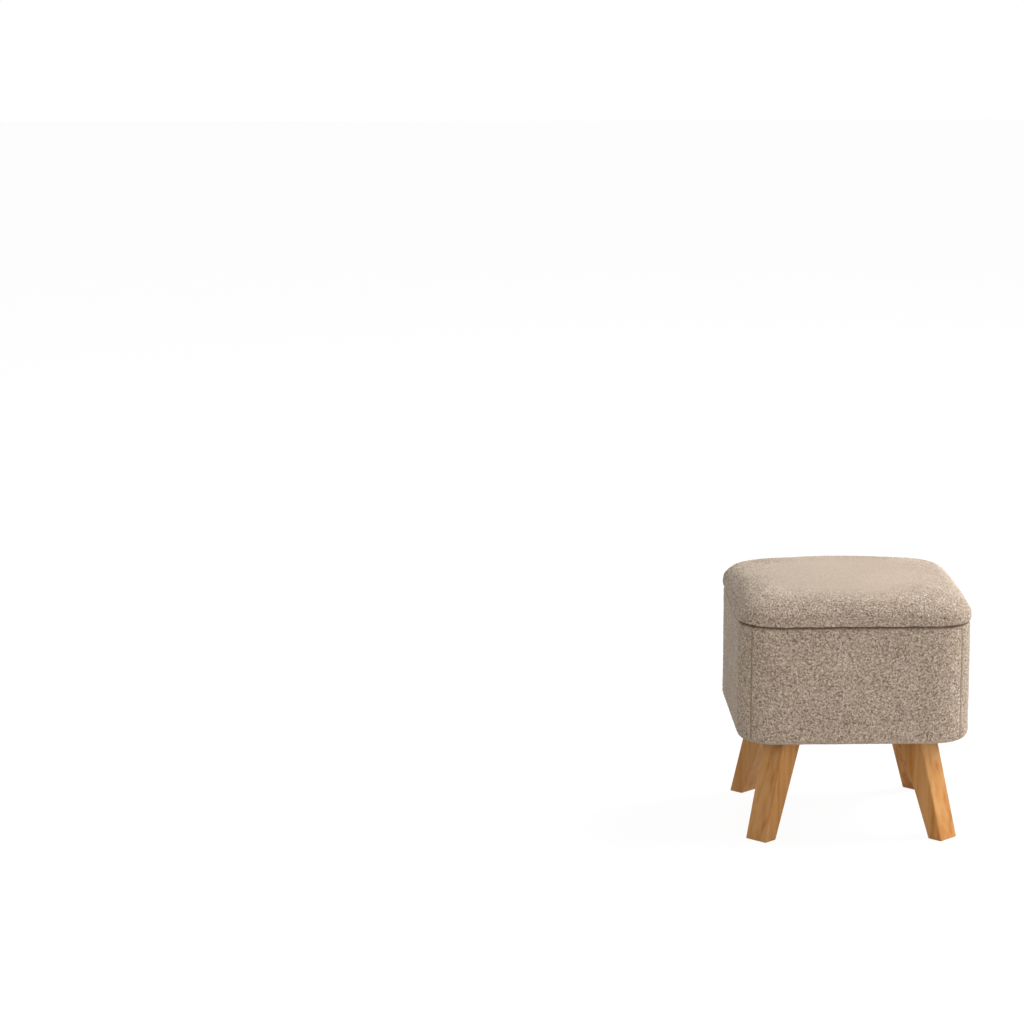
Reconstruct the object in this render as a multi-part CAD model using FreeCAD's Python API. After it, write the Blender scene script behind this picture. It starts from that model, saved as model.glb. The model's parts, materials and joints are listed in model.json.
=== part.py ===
import FreeCAD, Part
import math
import os

# Upholstered storage footstool, millimetres, +Z up, front towards -Y, floor at z = 0.
# Everything is drawn about the box's own centre line and moved by SHIFT_Y on export,
# so that the origin ends up under the middle of the whole object.

# Overall sizes
BOX_W = 364.0
BOX_CORNER_R = 60.0
BOX_BASE_Z = 160.0
BOX_H = 189.0
LID_H = 51.0
LID_OVERHANG = 2.5

# Layers of the box wall, from the outside in
COVER_T = 2.0
FOAM_T = 8.4
PANEL_T = 12.0
LINING_T = 1.0

# Cover where it is drawn tight over an edge, the widths turned under, and the valleys along its seams
TIGHT_T = 1.4
TURN_UNDER = 23.6
TURN_CORNER_R = 30.0
VALLEY_W = 5.0
VALLEY_DEPTH = 0.9

# Bottom of the box
BOARD_T = 15.0
DUST_T = 0.6
DUST_LAP = 12.0
DUST_CORNER_R = 40.0
DUST_CLEAR = 2.0

# Clearances
LID_GAP = 0.3
RUN_FIT = 0.05
SOFT_CLEAR = 0.4
LEAF_GAP = 0.1
BOLT_CLEAR = 0.3
FOAM_JOINT = 0.4

# Edge softness of box and case
BASE_EDGE_R = 15.0
RIM_EDGE_R = 3.6
WOOD_BASE_EDGE = 5.0
WOOD_TOP_EDGE = 1.2

# Legs: turned 45 degrees, splayed along the diagonal, with tapering side faces
LEG_W = 41.0
LEG_TOP_T = 45.8
LEG_FOOT_T = 25.6
LEG_INSET = 50.6
LEG_SPLAY = 15.4
LEG_EDGE_R = 2.2
LEG_FOOT_EDGE = 0.8
LEGS = {
    "leg_front_left": (-1, -1),
    "leg_front_right": (1, -1),
    "leg_rear_left": (-1, 1),
    "leg_rear_right": (1, 1),
}

# Leg fixings, two bolts to a leg
BOLT_R = 3.0
BOLT_INSET = 17.5
BOLT_SPACING = 19.0
BOLT_REACH = 24.0
BOLT_HEAD_R = 5.5
BOLT_HEAD_H = 3.3
BOLT_HEAD_EDGE_R = 2.0
HEX_AF = 4.0
HEX_DEPTH = 2.0
WASHER_R = 8.0
WASHER_T = 1.5
COUNTERBORE_R = 9.0
COUNTERBORE_H = 5.0
INSERT_R = 5.0
INSERT_H = 15.0
HOLE_SPARE = 3.0

# Dowels between panels and corner posts, screws into the bottom board
DOWEL_R = 3.0
DOWEL_L = 30.0
DOWEL_EDGE = 0.8
DOWEL_FROM_BASE = 54.0
DOWEL_FROM_TOP = 42.0
CASE_SCREW_R = 2.2
CASE_SCREW_HEAD_R = 4.2
CASE_SCREW_L = 38.0
CASE_SCREW_FROM_CORNER = 47.0
CASE_SCREW_UP = 9.4

# Small wood screws of the hinges and the stay
WOOD_SCREW_R = 1.6
WOOD_SCREW_HEAD_R = 3.0
BOX_LEAF_SCREW_L = 16.0
LID_LEAF_SCREW_L = 12.0
WALL_SCREW_L = 12.0
FLANGE_SCREW_L = 14.0

# Heads and tips of all the wood screws
COUNTERSINK_SLOPE = 0.9
TIP_SLOPE = 1.5
TIP_R = 0.4
CROSS_DEPTH = 0.7
CROSS_W = 0.7
CROSS_RIM = 1.2

# Butt hinges
PIN_R = 1.8
PIN_STANDOUT = 0.4
PIN_EDGE = 0.3
KNUCKLE_R = 3.2
KNUCKLE_GAP = 0.3
LEAF_L = 50.0
LEAF_CORNER_R = 4.0
LEAF_INSET = 0.6
LEAF_SCREW_PITCH = 17.0
HINGE_FROM_CORNER = 37.0

# Lid: board, lining and a cushion with a domed top, a wide rolled edge and a tucked lower edge
LID_BOARD_T = 12.0
LID_BOARD_EDGE_R = 3.0
LID_LINING_T = 1.0
LID_LINING_CLEAR = 2.6
LID_DOME_R = 1450.0
LID_ROLL_R = 31.0
LID_TUCK_R = 4.2

# Folding stay: four pivots in an exact parallelogram, measured from the hinge axis
STAY_WALL_AHEAD = 80.0
STAY_WALL_DOWN = 108.0
STAY_LID_AHEAD = 112.0
STAY_LID_DOWN = 14.0
STAY_OPEN = 95.0
ARM_T = 2.0
ARM_W = 14.0
ARM_GAP = 0.4
RIVET_R = 2.5
RIVET_HEAD_R = 4.6
RIVET_HEAD_T = 1.1
RIVET_HEAD_EDGE_R = 0.7
LUG_R = 2.4
LUG_FROM_ELBOW = 17.0
LUG_RIM = 1.6
LUG_CLEAR = 0.25

# Brackets of the stay
WALL_PLATE_T = 2.0
WALL_PLATE_W = 18.0
WALL_PLATE_L = 44.0
WALL_PLATE_CORNER_R = 6.0
WALL_SCREW_SPACING = 30.0
FLANGE_T = 2.0
FLANGE_W = 26.0
FLANGE_L = 34.0
FLANGE_CORNER_R = 5.0
FLANGE_SCREW_SPACING = 20.0
TAB_W = 16.0

# Wall positions, measured from the centre line
BOX_HALF = BOX_W / 2
FOAM_HALF = BOX_HALF - COVER_T
WOOD_HALF = FOAM_HALF - FOAM_T
WOOD_R = BOX_CORNER_R - COVER_T - FOAM_T
CAVITY_HALF = WOOD_HALF - PANEL_T
ARC_START = WOOD_HALF - WOOD_R
LINED_HALF = CAVITY_HALF - LINING_T
TURNED_HALF = WOOD_HALF - TURN_UNDER
PANEL_MID = (CAVITY_HALF + WOOD_HALF) / 2
LID_HALF = BOX_HALF + LID_OVERHANG
LID_LINING_HALF = LINED_HALF - LID_LINING_CLEAR

# Levels
SEAM_Z = BOX_BASE_Z + BOX_H
TOP_Z = SEAM_Z + LID_H
RIM_Z = SEAM_Z - LID_GAP
WOOD_TOP = RIM_Z - TIGHT_T
WOOD_BASE = BOX_BASE_Z + TIGHT_T
FLOOR_Z = WOOD_BASE + BOARD_T
LID_BASE = SEAM_Z + LID_GAP
LID_BOARD_Z = LID_BASE + TIGHT_T
LID_LINING_Z = LID_BASE - LID_LINING_T

# Leg reach along the diagonal, at the top and on the floor
LEG_TOP_OUT = ARC_START * math.sqrt(2) + WOOD_R - LEG_INSET
LEG_FOOT_OUT = LEG_TOP_OUT + WOOD_BASE * math.tan(math.radians(LEG_SPLAY))
BOLT_OUT = LEG_TOP_OUT - BOLT_INSET

# Hinge axis and leaves
LEAF_T = TIGHT_T + LID_GAP - LEAF_GAP
HINGE_Y = BOX_HALF + SOFT_CLEAR + KNUCKLE_R
LEAF_INNER = CAVITY_HALF + LEAF_INSET

# Layers of the stay, from the wall inwards, by their lower x
PLATE_X = LINED_HALF - WALL_PLATE_T
LOWER_X = PLATE_X - ARM_GAP - ARM_T
UPPER_X = LOWER_X - ARM_GAP - ARM_T

SHIFT_Y = -(HINGE_Y + KNUCKLE_R - LID_HALF) / 2
PAST = 1.0
V = FreeCAD.Vector
UP = V(0, 0, 1)
ACROSS = V(1, 0, 0)
ORIGIN = V(0, 0, 0)


# Shapes that repeat


def block(x0, x1, y0, y1, z0, z1):
    return Part.makeBox(x1 - x0, y1 - y0, z1 - z0, V(x0, y0, z0))


def rod(radius, length, start, axis):
    return Part.makeCylinder(radius, length, start, axis)


def turned(shape, angle, axis=UP):
    """Copy of a shape turned about an axis through the origin."""
    out = shape.copy()
    out.rotate(ORIGIN, axis, angle)
    return out


def round_edges(shape):
    return [e for e in shape.Edges if e.Curve.TypeId == "Part::GeomCircle"]


def edges_at(shape, z):
    """Edges that lie wholly at one height."""
    return [e for e in shape.Edges if abs(e.BoundBox.ZMin - z) < 1e-4 and abs(e.BoundBox.ZMax - z) < 1e-4]


def rounded_wire(half, radius, z):
    """Closed outline of a square with rounded corners, centred on the z axis."""
    c = half - radius
    m = c + radius * math.cos(math.radians(45))
    corner = (V(half, -c, z), V(half, c, z), V(m, m, z), V(c, half, z))
    edges = []
    for k in range(4):
        turn = FreeCAD.Rotation(UP, 90 * k)
        start, bend, middle, end = [turn.multVec(p) for p in corner]
        edges.append(Part.makeLine(start, bend))
        edges.append(Part.Arc(bend, middle, end).toShape())
    return Part.Wire(edges)


def rounded_prism(half, radius, z0, z1):
    """Upright prism with a rounded square plan."""
    return Part.Face(rounded_wire(half, radius, z0)).extrude(V(0, 0, z1 - z0))


def cavity_prism(half, z0, z1):
    """Upright prism with the cavity's plan: a square with its corners cut off across the posts."""
    c = ARC_START + (half - CAVITY_HALF) * math.tan(math.radians(22.5))
    corners = []
    for k in range(4):
        turn = FreeCAD.Rotation(UP, 90 * k)
        corners.append(turn.multVec(V(half, -c, z0)))
        corners.append(turn.multVec(V(half, c, z0)))
    return Part.Face(Part.makePolygon(corners + corners[:1])).extrude(V(0, 0, z1 - z0))


def screw_hole(start, axis, length, radius, head_r):
    """Outside of a countersunk screw: start is the middle of the flush head, axis points down the shank."""
    head_h = (head_r - radius) * COUNTERSINK_SLOPE
    tip_h = radius * TIP_SLOPE
    shank_l = length - head_h - tip_h
    head = Part.makeCone(head_r, radius, head_h, start, axis)
    shank = rod(radius, shank_l, start + axis * head_h, axis)
    tip = Part.makeCone(radius, TIP_R, tip_h, start + axis * (head_h + shank_l), axis)
    return head.fuse([shank, tip]).removeSplitter()


def screw(start, axis, length, radius, head_r):
    """Countersunk screw with a cross recess, to the same sizes as its hole."""
    arm = head_r - CROSS_RIM
    slot = block(-arm, arm, -CROSS_W / 2, CROSS_W / 2, -PAST, CROSS_DEPTH)
    recess = slot.fuse(turned(slot, 90))
    recess.Placement = FreeCAD.Placement(start, FreeCAD.Rotation(UP, axis))
    return screw_hole(start, axis, length, radius, head_r).cut(recess)


# Wooden case of the box


def wood_envelope():
    """Outside of the case, with its lower edge eased so that the cover rolls over it."""
    body = rounded_prism(WOOD_HALF, WOOD_R, WOOD_BASE, WOOD_TOP)
    body = body.makeChamfer(WOOD_BASE_EDGE, edges_at(body, WOOD_BASE))
    return body.makeChamfer(WOOD_TOP_EDGE, edges_at(body, WOOD_TOP))


def dowels():
    """Dowels across every joint between a panel and a corner post."""
    out = []
    for k in range(4):
        for side in (-1, 1):
            for z in (WOOD_BASE + DOWEL_FROM_BASE, WOOD_TOP - DOWEL_FROM_TOP):
                start = V(side * ARC_START - DOWEL_L / 2, -PANEL_MID, z)
                pin = rod(DOWEL_R, DOWEL_L, start, ACROSS)
                out.append(turned(pin.makeChamfer(DOWEL_EDGE, round_edges(pin)), 90 * k))
    return out


def case_screws(make):
    """Screws, or their holes, through the panels into the edges of the bottom board."""
    out = []
    for k in range(4):
        for side in (-1, 1):
            x = side * (ARC_START - CASE_SCREW_FROM_CORNER)
            start = V(x, -WOOD_HALF, WOOD_BASE + CASE_SCREW_UP)
            out.append(turned(make(start, V(0, 1, 0), CASE_SCREW_L, CASE_SCREW_R, CASE_SCREW_HEAD_R), 90 * k))
    return out


def case_parts(holes):
    """Four panels and four corner posts, cut out of one shell along their butt joints."""
    z0 = WOOD_BASE - PAST
    z1 = WOOD_TOP + PAST
    far = WOOD_HALF + PAST
    shell = wood_envelope().cut(cavity_prism(CAVITY_HALF, z0, z1))
    panel = block(-ARC_START, ARC_START, -far, -ARC_START, z0, z1)
    post = block(ARC_START, far, ARC_START, far, z0, z1)
    parts = {}
    for k, side in enumerate(("front", "right", "rear", "left")):
        parts[side + "_panel"] = shell.common(turned(panel, 90 * k)).cut(holes)
    for k, corner in enumerate(("rear_right", "rear_left", "front_left", "front_right")):
        parts["corner_post_" + corner] = shell.common(turned(post, 90 * k)).cut(holes)
    return parts


def bottom_board(holes):
    """Board that closes the case below, counterbored from above for the leg bolts."""
    board = cavity_prism(CAVITY_HALF, WOOD_BASE, FLOOR_Z)
    seats = [p + UP * (FLOOR_Z - COUNTERBORE_H) for p in bolt_points()]
    wide = [rod(COUNTERBORE_R, COUNTERBORE_H + PAST, p, UP) for p in seats]
    through = [rod(BOLT_R + BOLT_CLEAR, BOARD_T, p, -UP) for p in seats]
    return board.cut(wide + through + holes)


# Legs and their fixings


def diagonal(sx, sy):
    """Direction of a corner in plan, in degrees from +X."""
    return math.degrees(math.atan2(sy, sx))


def bolt_points():
    """Plan positions of the leg bolts."""
    out = []
    for sx, sy in LEGS.values():
        turn = FreeCAD.Rotation(UP, diagonal(sx, sy))
        out += [turn.multVec(V(BOLT_OUT, side * BOLT_SPACING / 2, 0)) for side in (-1, 1)]
    return out


def leg_blank():
    """Leg that points along +X: flat outer face, side faces that taper to the foot, long edges eased."""
    half = LEG_W / 2
    outline = [
        V(LEG_FOOT_OUT - LEG_FOOT_T, -half, 0),
        V(LEG_FOOT_OUT, -half, 0),
        V(LEG_TOP_OUT, -half, WOOD_BASE),
        V(LEG_TOP_OUT - LEG_TOP_T, -half, WOOD_BASE),
    ]
    body = Part.Face(Part.makePolygon(outline + outline[:1])).extrude(V(0, LEG_W, 0))
    long_edges = [e for e in body.Edges if abs(e.Vertexes[0].Z - e.Vertexes[1].Z) > WOOD_BASE / 2]
    body = body.makeFillet(LEG_EDGE_R, long_edges)
    return body.makeChamfer(LEG_FOOT_EDGE, edges_at(body, 0.0))


def leg(sx, sy):
    """One leg, bored from above for its two inserts and bolts."""
    tools = []
    for side in (-1, 1):
        top = V(BOLT_OUT, side * BOLT_SPACING / 2, WOOD_BASE)
        tools.append(rod(INSERT_R, INSERT_H, top, -UP))
        tools.append(rod(BOLT_R + BOLT_CLEAR, BOLT_REACH + HOLE_SPARE, top, -UP))
    return turned(leg_blank().cut(tools), diagonal(sx, sy))


def leg_bolt(p):
    """Button-head bolt with a hexagon socket, from the counterbore down into the leg."""
    seat = FLOOR_Z - COUNTERBORE_H + WASHER_T
    crown = seat + BOLT_HEAD_H
    head = rod(BOLT_HEAD_R, BOLT_HEAD_H, p + UP * seat, UP)
    head = head.makeFillet(BOLT_HEAD_EDGE_R, edges_at(head, crown))
    shank = rod(BOLT_R, seat - WOOD_BASE + BOLT_REACH, p + UP * seat, -UP)
    corner = V(HEX_AF / math.sqrt(3), 0, 0)
    hexagon = [p + UP * crown + FreeCAD.Rotation(UP, 60 * k).multVec(corner) for k in range(7)]
    socket = Part.Face(Part.makePolygon(hexagon)).extrude(UP * -HEX_DEPTH)
    return head.fuse(shank).cut(socket)


def leg_washer(p):
    base = p + UP * (FLOOR_Z - COUNTERBORE_H)
    return rod(WASHER_R, WASHER_T, base, UP).cut(rod(BOLT_R + BOLT_CLEAR, WASHER_T, base, UP))


def leg_insert(p):
    top = p + UP * WOOD_BASE
    return rod(INSERT_R, INSERT_H, top, -UP).cut(rod(BOLT_R, INSERT_H, top, -UP))


# Padding, covers and linings of the box


def box_form(inset, z0, z1):
    """Upholstered outside of the box, or the foam's outside when inset by the cover."""
    body = rounded_prism(BOX_HALF - inset, BOX_CORNER_R - inset, z0, z1)
    body = body.makeFillet(BASE_EDGE_R - inset, edges_at(body, z0))
    return body.makeFillet(RIM_EDGE_R - inset, edges_at(body, z1))


def side_padding():
    """Foam wrapped round the case once, butted together at the middle of the rear."""
    foam = box_form(COVER_T, WOOD_BASE, WOOD_TOP).cut(wood_envelope())
    joint = block(-FOAM_JOINT / 2, FOAM_JOINT / 2, PANEL_MID, BOX_HALF, WOOD_BASE - PAST, WOOD_TOP + PAST)
    return foam.cut(joint)


def hinge_positions():
    """Middles of the two hinges along X, set in from where the corners start to turn."""
    x = ARC_START - HINGE_FROM_CORNER
    return (-x, x)


def leaf_room(z0, z1):
    """Room round both hinges' leaves that covers and foam leave free, between two heights."""
    half = LEAF_L / 2 + SOFT_CLEAR
    return [block(x - half, x + half, CAVITY_HALF - PAST, LID_HALF + PAST, z0, z1) for x in hinge_positions()]


def side_wedge():
    """Wedge of the plan that belongs to the front, from the middle out to both corner seams."""
    far = 2 * BOX_HALF
    corners = [ORIGIN, V(-far, -far, 0), V(far, -far, 0), ORIGIN]
    return Part.Face(Part.makePolygon(corners)).extrude(V(0, 0, TOP_Z))


def seam_valleys():
    """Shallow valleys that the seams draw in down the middle of the rounded corners."""
    crest = ARC_START * math.sqrt(2) + BOX_CORNER_R
    section = [
        V(crest - VALLEY_DEPTH, 0, BOX_BASE_Z),
        V(crest + VALLEY_DEPTH, -VALLEY_W, BOX_BASE_Z),
        V(crest + VALLEY_DEPTH, VALLEY_W, BOX_BASE_Z),
    ]
    valley = Part.Face(Part.makePolygon(section + section[:1])).extrude(V(0, 0, BOX_H))
    return [turned(valley, diagonal(sx, sy)) for sx, sy in LEGS.values()]


def box_covers():
    """Four sewn panels that meet at a seam down the middle of each rounded corner."""
    skin = box_form(0.0, BOX_BASE_Z, RIM_Z).cut(box_form(COVER_T, WOOD_BASE, WOOD_TOP))
    skin = skin.cut(seam_valleys())
    skin = skin.cut(cavity_prism(CAVITY_HALF, WOOD_TOP - PAST, SEAM_Z))
    skin = skin.cut(rounded_prism(TURNED_HALF, TURN_CORNER_R, BOX_BASE_Z - PAST, WOOD_BASE + PAST))
    skin = skin.cut(leaf_room(WOOD_TOP, SEAM_Z))
    sides = ("front", "right", "rear", "left")
    return {"box_cover_" + side: skin.common(turned(side_wedge(), 90 * k)) for k, side in enumerate(sides)}


def lining_walls():
    outer = cavity_prism(CAVITY_HALF, FLOOR_Z + LINING_T, RIM_Z)
    return outer.cut(cavity_prism(LINED_HALF, FLOOR_Z, SEAM_Z))


def lining_floor():
    return cavity_prism(CAVITY_HALF, FLOOR_Z, FLOOR_Z + LINING_T)


def dust_cover():
    """Flat sheet stapled under the base, cut away round the tops of the legs."""
    sheet = rounded_prism(TURNED_HALF + DUST_LAP, DUST_CORNER_R, BOX_BASE_Z - DUST_T, BOX_BASE_Z)
    half = LEG_W / 2 + DUST_CLEAR
    inner = LEG_TOP_OUT - LEG_TOP_T - DUST_CLEAR
    outer = LEG_TOP_OUT + DUST_CLEAR
    hole = block(inner, outer, -half, half, BOX_BASE_Z - DUST_T - PAST, BOX_BASE_Z + PAST)
    return sheet.cut([turned(hole, diagonal(sx, sy)) for sx, sy in LEGS.values()])


# Lid


def lid_roll():
    """Radius of the lid's rolled edge, no more than the low wall at its corners can take."""
    corner_r = BOX_CORNER_R + LID_OVERHANG
    reach = (LID_HALF - corner_r) * math.sqrt(2) + corner_r
    fall = math.asin(reach / LID_DOME_R)
    wall = LID_H - LID_GAP - LID_DOME_R * (1 - math.cos(fall)) - LID_TUCK_R
    return min(LID_ROLL_R, wall * math.tan((math.pi / 2 + fall) / 2) * 0.99)


def lid_form(inset, base, tuck):
    """Domed cushion with rolled upper edges and a tucked lower edge, moved inwards by an inset."""
    wall = rounded_prism(LID_HALF - inset, BOX_CORNER_R + LID_OVERHANG - inset, base, TOP_Z + PAST)
    body = wall.common(Part.makeSphere(LID_DOME_R - inset, V(0, 0, TOP_Z - LID_DOME_R)))
    rim = [e for e in body.Edges if e.BoundBox.ZMin > LID_BASE + LID_H / 4]
    body = body.makeFillet(lid_roll() - inset, rim)
    return body.makeFillet(tuck, edges_at(body, base))


def lid_pad_form():
    return lid_form(COVER_T, LID_BOARD_Z, LID_TUCK_R - TIGHT_T)


def lid_board():
    top = LID_BOARD_Z + LID_BOARD_T
    board = rounded_prism(WOOD_HALF, WOOD_R, LID_BOARD_Z, top)
    return board.makeFillet(LID_BOARD_EDGE_R, edges_at(board, top))


def lid_foam():
    """Cushion over the board and round its edge."""
    return lid_pad_form().cut([lid_board()] + leaf_room(LID_BASE, SEAM_Z + LEAF_GAP + LEAF_T))


def lid_cover():
    """Cover pulled over the cushion and turned under the board all round, cut clear of the hinges."""
    skin = lid_form(0.0, LID_BASE, LID_TUCK_R).cut(lid_pad_form())
    skin = skin.cut(rounded_prism(TURNED_HALF, TURN_CORNER_R, LID_BASE - PAST, LID_BOARD_Z))
    length = LEAF_L + 2 * SOFT_CLEAR
    ends = [V(x - length / 2, HINGE_Y, SEAM_Z) for x in hinge_positions()]
    barrels = [rod(KNUCKLE_R + SOFT_CLEAR, length, end, ACROSS) for end in ends]
    return skin.cut(leaf_room(LID_BASE - PAST, SEAM_Z + LEAF_GAP + LEAF_T) + barrels)


def lid_lining():
    return cavity_prism(LID_LINING_HALF, LID_LINING_Z, LID_BASE)


# Hinges


def knuckle_spans(part):
    """Stretches of the barrel that a leaf owns: both ends for the box leaf, the middle for the lid leaf."""
    end = LEAF_L / 2
    cut = LEAF_L / 6
    gap = KNUCKLE_GAP / 2
    return [(-end, -cut - gap), (cut + gap, end)] if part == "box" else [(-cut + gap, cut - gap)]


def knuckle_slots(x, part):
    """Cuts in a leaf that clear the other leaf's knuckles."""
    y0 = HINGE_Y - KNUCKLE_R - KNUCKLE_GAP
    y1 = HINGE_Y + KNUCKLE_R + PAST
    reach = KNUCKLE_R + PAST
    out = []
    for a, b in knuckle_spans("lid" if part == "box" else "box"):
        out.append(block(x + a - KNUCKLE_GAP, x + b + KNUCKLE_GAP, y0, y1, SEAM_Z - reach, SEAM_Z + reach))
    return out


def leaf_screws(make, part):
    """Screws, or their holes, of both hinges' leaves on one part."""
    down = part == "box"
    z = SEAM_Z - LEAF_GAP if down else SEAM_Z + LEAF_GAP
    axis = -UP if down else UP
    length = BOX_LEAF_SCREW_L if down else LID_LEAF_SCREW_L
    out = []
    for x in hinge_positions():
        for k in (-1, 0, 1):
            start = V(x + k * LEAF_SCREW_PITCH, PANEL_MID, z)
            out.append(make(start, axis, length, WOOD_SCREW_R, WOOD_SCREW_HEAD_R))
    return out


def leaf(x, part):
    """Hinge leaf with rolled knuckles; the lid's leaf lies above the seam and the box's below it."""
    z0 = SEAM_Z - LEAF_GAP - LEAF_T if part == "box" else SEAM_Z + LEAF_GAP
    half = LEAF_L / 2
    plate = block(x - half, x + half, LEAF_INNER, HINGE_Y, z0, z0 + LEAF_T)
    upright = [e for e in plate.Edges if e.BoundBox.ZLength > LEAF_T / 2]
    plate = plate.makeFillet(LEAF_CORNER_R, [e for e in upright if e.BoundBox.YMax < LEAF_INNER + PAST])
    barrel = rod(KNUCKLE_R, LEAF_L, V(x - half, HINGE_Y, SEAM_Z), ACROSS)
    bore_r = PIN_R if part == "box" else PIN_R + RUN_FIT
    bore = rod(bore_r, LEAF_L + 2 * PAST, V(x - half - PAST, HINGE_Y, SEAM_Z), ACROSS)
    return plate.fuse(barrel).cut(knuckle_slots(x, part) + [bore] + leaf_screws(screw_hole, part))


def hinge_pin(x):
    length = LEAF_L + 2 * PIN_STANDOUT
    pin = rod(PIN_R, length, V(x - length / 2, HINGE_Y, SEAM_Z), ACROSS)
    return pin.makeChamfer(PIN_EDGE, round_edges(pin))


# Folding stay inside the right wall


def wall_pivot():
    return V(0, HINGE_Y - STAY_WALL_AHEAD, SEAM_Z - STAY_WALL_DOWN)


def lid_pivot():
    return V(0, HINGE_Y - STAY_LID_AHEAD, SEAM_Z - STAY_LID_DOWN)


def elbow():
    """Fourth corner of the parallelogram, with the lid shut."""
    return wall_pivot() + lid_pivot() - V(0, HINGE_Y, SEAM_Z)


def bored(shape, centre, radius):
    """A flat piece with a hole right through it along X."""
    return shape.cut(rod(radius, BOX_W, V(0, centre.y, centre.z), ACROSS))


def strip(p, q, x, width):
    """Square-ended flat bar between two points, one arm's thickness deep."""
    span = q - p
    bar = block(0, ARM_T, 0, span.Length, -width / 2, width / 2)
    bar = turned(bar, math.degrees(math.atan2(span.z, span.y)), ACROSS)
    bar.translate(p + ACROSS * x)
    return bar


def link(p, q, x, bore_p, bore_q):
    """Flat bar with round ends between two pivots, bored at both."""
    ends = [rod(ARM_W / 2, ARM_T, end + ACROSS * x, ACROSS) for end in (p, q)]
    body = strip(p, q, x, ARM_W).fuse(ends).removeSplitter()
    return bored(bored(body, p, bore_p), q, bore_q)


def lug_centre():
    """Where the stop lug stands, just ahead of the upper arm's leading edge with the lid fully open."""
    reach = FreeCAD.Rotation(ACROSS, STAY_OPEN).multVec(lid_pivot() - elbow()).normalize()
    ahead = ACROSS.cross(reach)
    return elbow() + reach * LUG_FROM_ELBOW + ahead * (ARM_W / 2 + LUG_R + LUG_CLEAR)


def stay_lower_arm():
    """Arm from the wall pivot to the elbow, with an ear beside the elbow that carries the stop lug."""
    centre = lug_centre()
    ear_r = LUG_R + LUG_RIM
    ear = bored(strip(elbow(), centre, LOWER_X, 2 * ear_r), elbow(), RIVET_R)
    eye = rod(ear_r, ARM_T, centre + ACROSS * LOWER_X, ACROSS)
    lug = rod(LUG_R, LOWER_X - UPPER_X + ARM_T, centre + ACROSS * UPPER_X, ACROSS)
    arm = link(wall_pivot(), elbow(), LOWER_X, RIVET_R + RUN_FIT, RIVET_R)
    return arm.fuse([ear, eye, lug]).removeSplitter()


def stay_upper_arm():
    return link(lid_pivot(), elbow(), UPPER_X, RIVET_R + RUN_FIT, RIVET_R + RUN_FIT)


def rivet_head(x, centre, direction):
    """Low round head with an eased rim, standing out from x along X."""
    head = rod(RIVET_HEAD_R, RIVET_HEAD_T, V(x, centre.y, centre.z), ACROSS * direction)
    outer = x + direction * RIVET_HEAD_T
    rim = [e for e in round_edges(head) if abs(e.BoundBox.Center.x - outer) < RIVET_HEAD_T / 4]
    return head.makeFillet(RIVET_HEAD_EDGE_R, rim)


def rivet(x0, x1, centre, heads):
    """Rivet between two x positions, with heads on the ends named by their directions."""
    shank = rod(RIVET_R, x1 - x0, V(x0, centre.y, centre.z), ACROSS)
    ends = {-1: x0, 1: x1}
    return shank.fuse([rivet_head(ends[d], centre, d) for d in heads]).removeSplitter()


def stay_pins():
    """Three pivots: each sits tight in one piece and runs in the next."""
    float_gap = ARM_GAP / 2
    return {
        "stay_box_pin": rivet(LOWER_X - float_gap, LINED_HALF, wall_pivot(), (-1,)),
        "stay_lid_pin": rivet(UPPER_X - float_gap, LOWER_X + ARM_T, lid_pivot(), (-1, 1)),
        "stay_elbow_pin": rivet(UPPER_X - float_gap, LOWER_X + ARM_T, elbow(), (-1, 1)),
    }


def wall_screws(make):
    out = []
    for side in (-1, 1):
        start = wall_pivot() + V(PLATE_X, 0, side * WALL_SCREW_SPACING / 2)
        out.append(make(start, ACROSS, WALL_SCREW_L, WOOD_SCREW_R, WOOD_SCREW_HEAD_R))
    return out


def stay_box_bracket():
    """Plate screwed to the wall over the lining, carrying the lower pivot."""
    p = wall_pivot()
    y = WALL_PLATE_W / 2
    z = WALL_PLATE_L / 2
    plate = block(PLATE_X, PLATE_X + WALL_PLATE_T, p.y - y, p.y + y, p.z - z, p.z + z)
    corners = [e for e in plate.Edges if e.BoundBox.XLength > WALL_PLATE_T / 2]
    return bored(plate.makeFillet(WALL_PLATE_CORNER_R, corners), p, RIVET_R).cut(wall_screws(screw_hole))


def flange_screws(make):
    out = []
    for side in (-1, 1):
        mid = LOWER_X + ARM_T - FLANGE_W / 2 - ARM_T / 2
        start = V(mid, lid_pivot().y + side * FLANGE_SCREW_SPACING / 2, LID_LINING_Z - FLANGE_T)
        out.append(make(start, UP, FLANGE_SCREW_L, WOOD_SCREW_R, WOOD_SCREW_HEAD_R))
    return out


def stay_lid_bracket():
    """Angle bracket under the lid: a flange screwed up into the board, and a tab with the upper pivot."""
    p = lid_pivot()
    outer = LOWER_X + ARM_T
    inner = outer - FLANGE_W
    z0 = LID_LINING_Z - FLANGE_T
    flange = block(inner, outer, p.y - FLANGE_L / 2, p.y + FLANGE_L / 2, z0, LID_LINING_Z)
    rim = [e for e in flange.Edges if e.BoundBox.ZLength > FLANGE_T / 2 and e.BoundBox.XMax < inner + PAST]
    flange = flange.makeFillet(FLANGE_CORNER_R, rim)
    tab = block(LOWER_X, outer, p.y - TAB_W / 2, p.y + TAB_W / 2, p.z, LID_LINING_Z)
    end = rod(TAB_W / 2, ARM_T, p + V(LOWER_X, 0, 0), ACROSS)
    body = flange.fuse([tab, end]).removeSplitter()
    tool = rod(RIVET_R, ARM_T + 2 * PAST, p + V(LOWER_X - PAST, 0, 0), ACROSS)
    return body.cut([tool] + flange_screws(screw_hole))


# The whole stool


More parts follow.
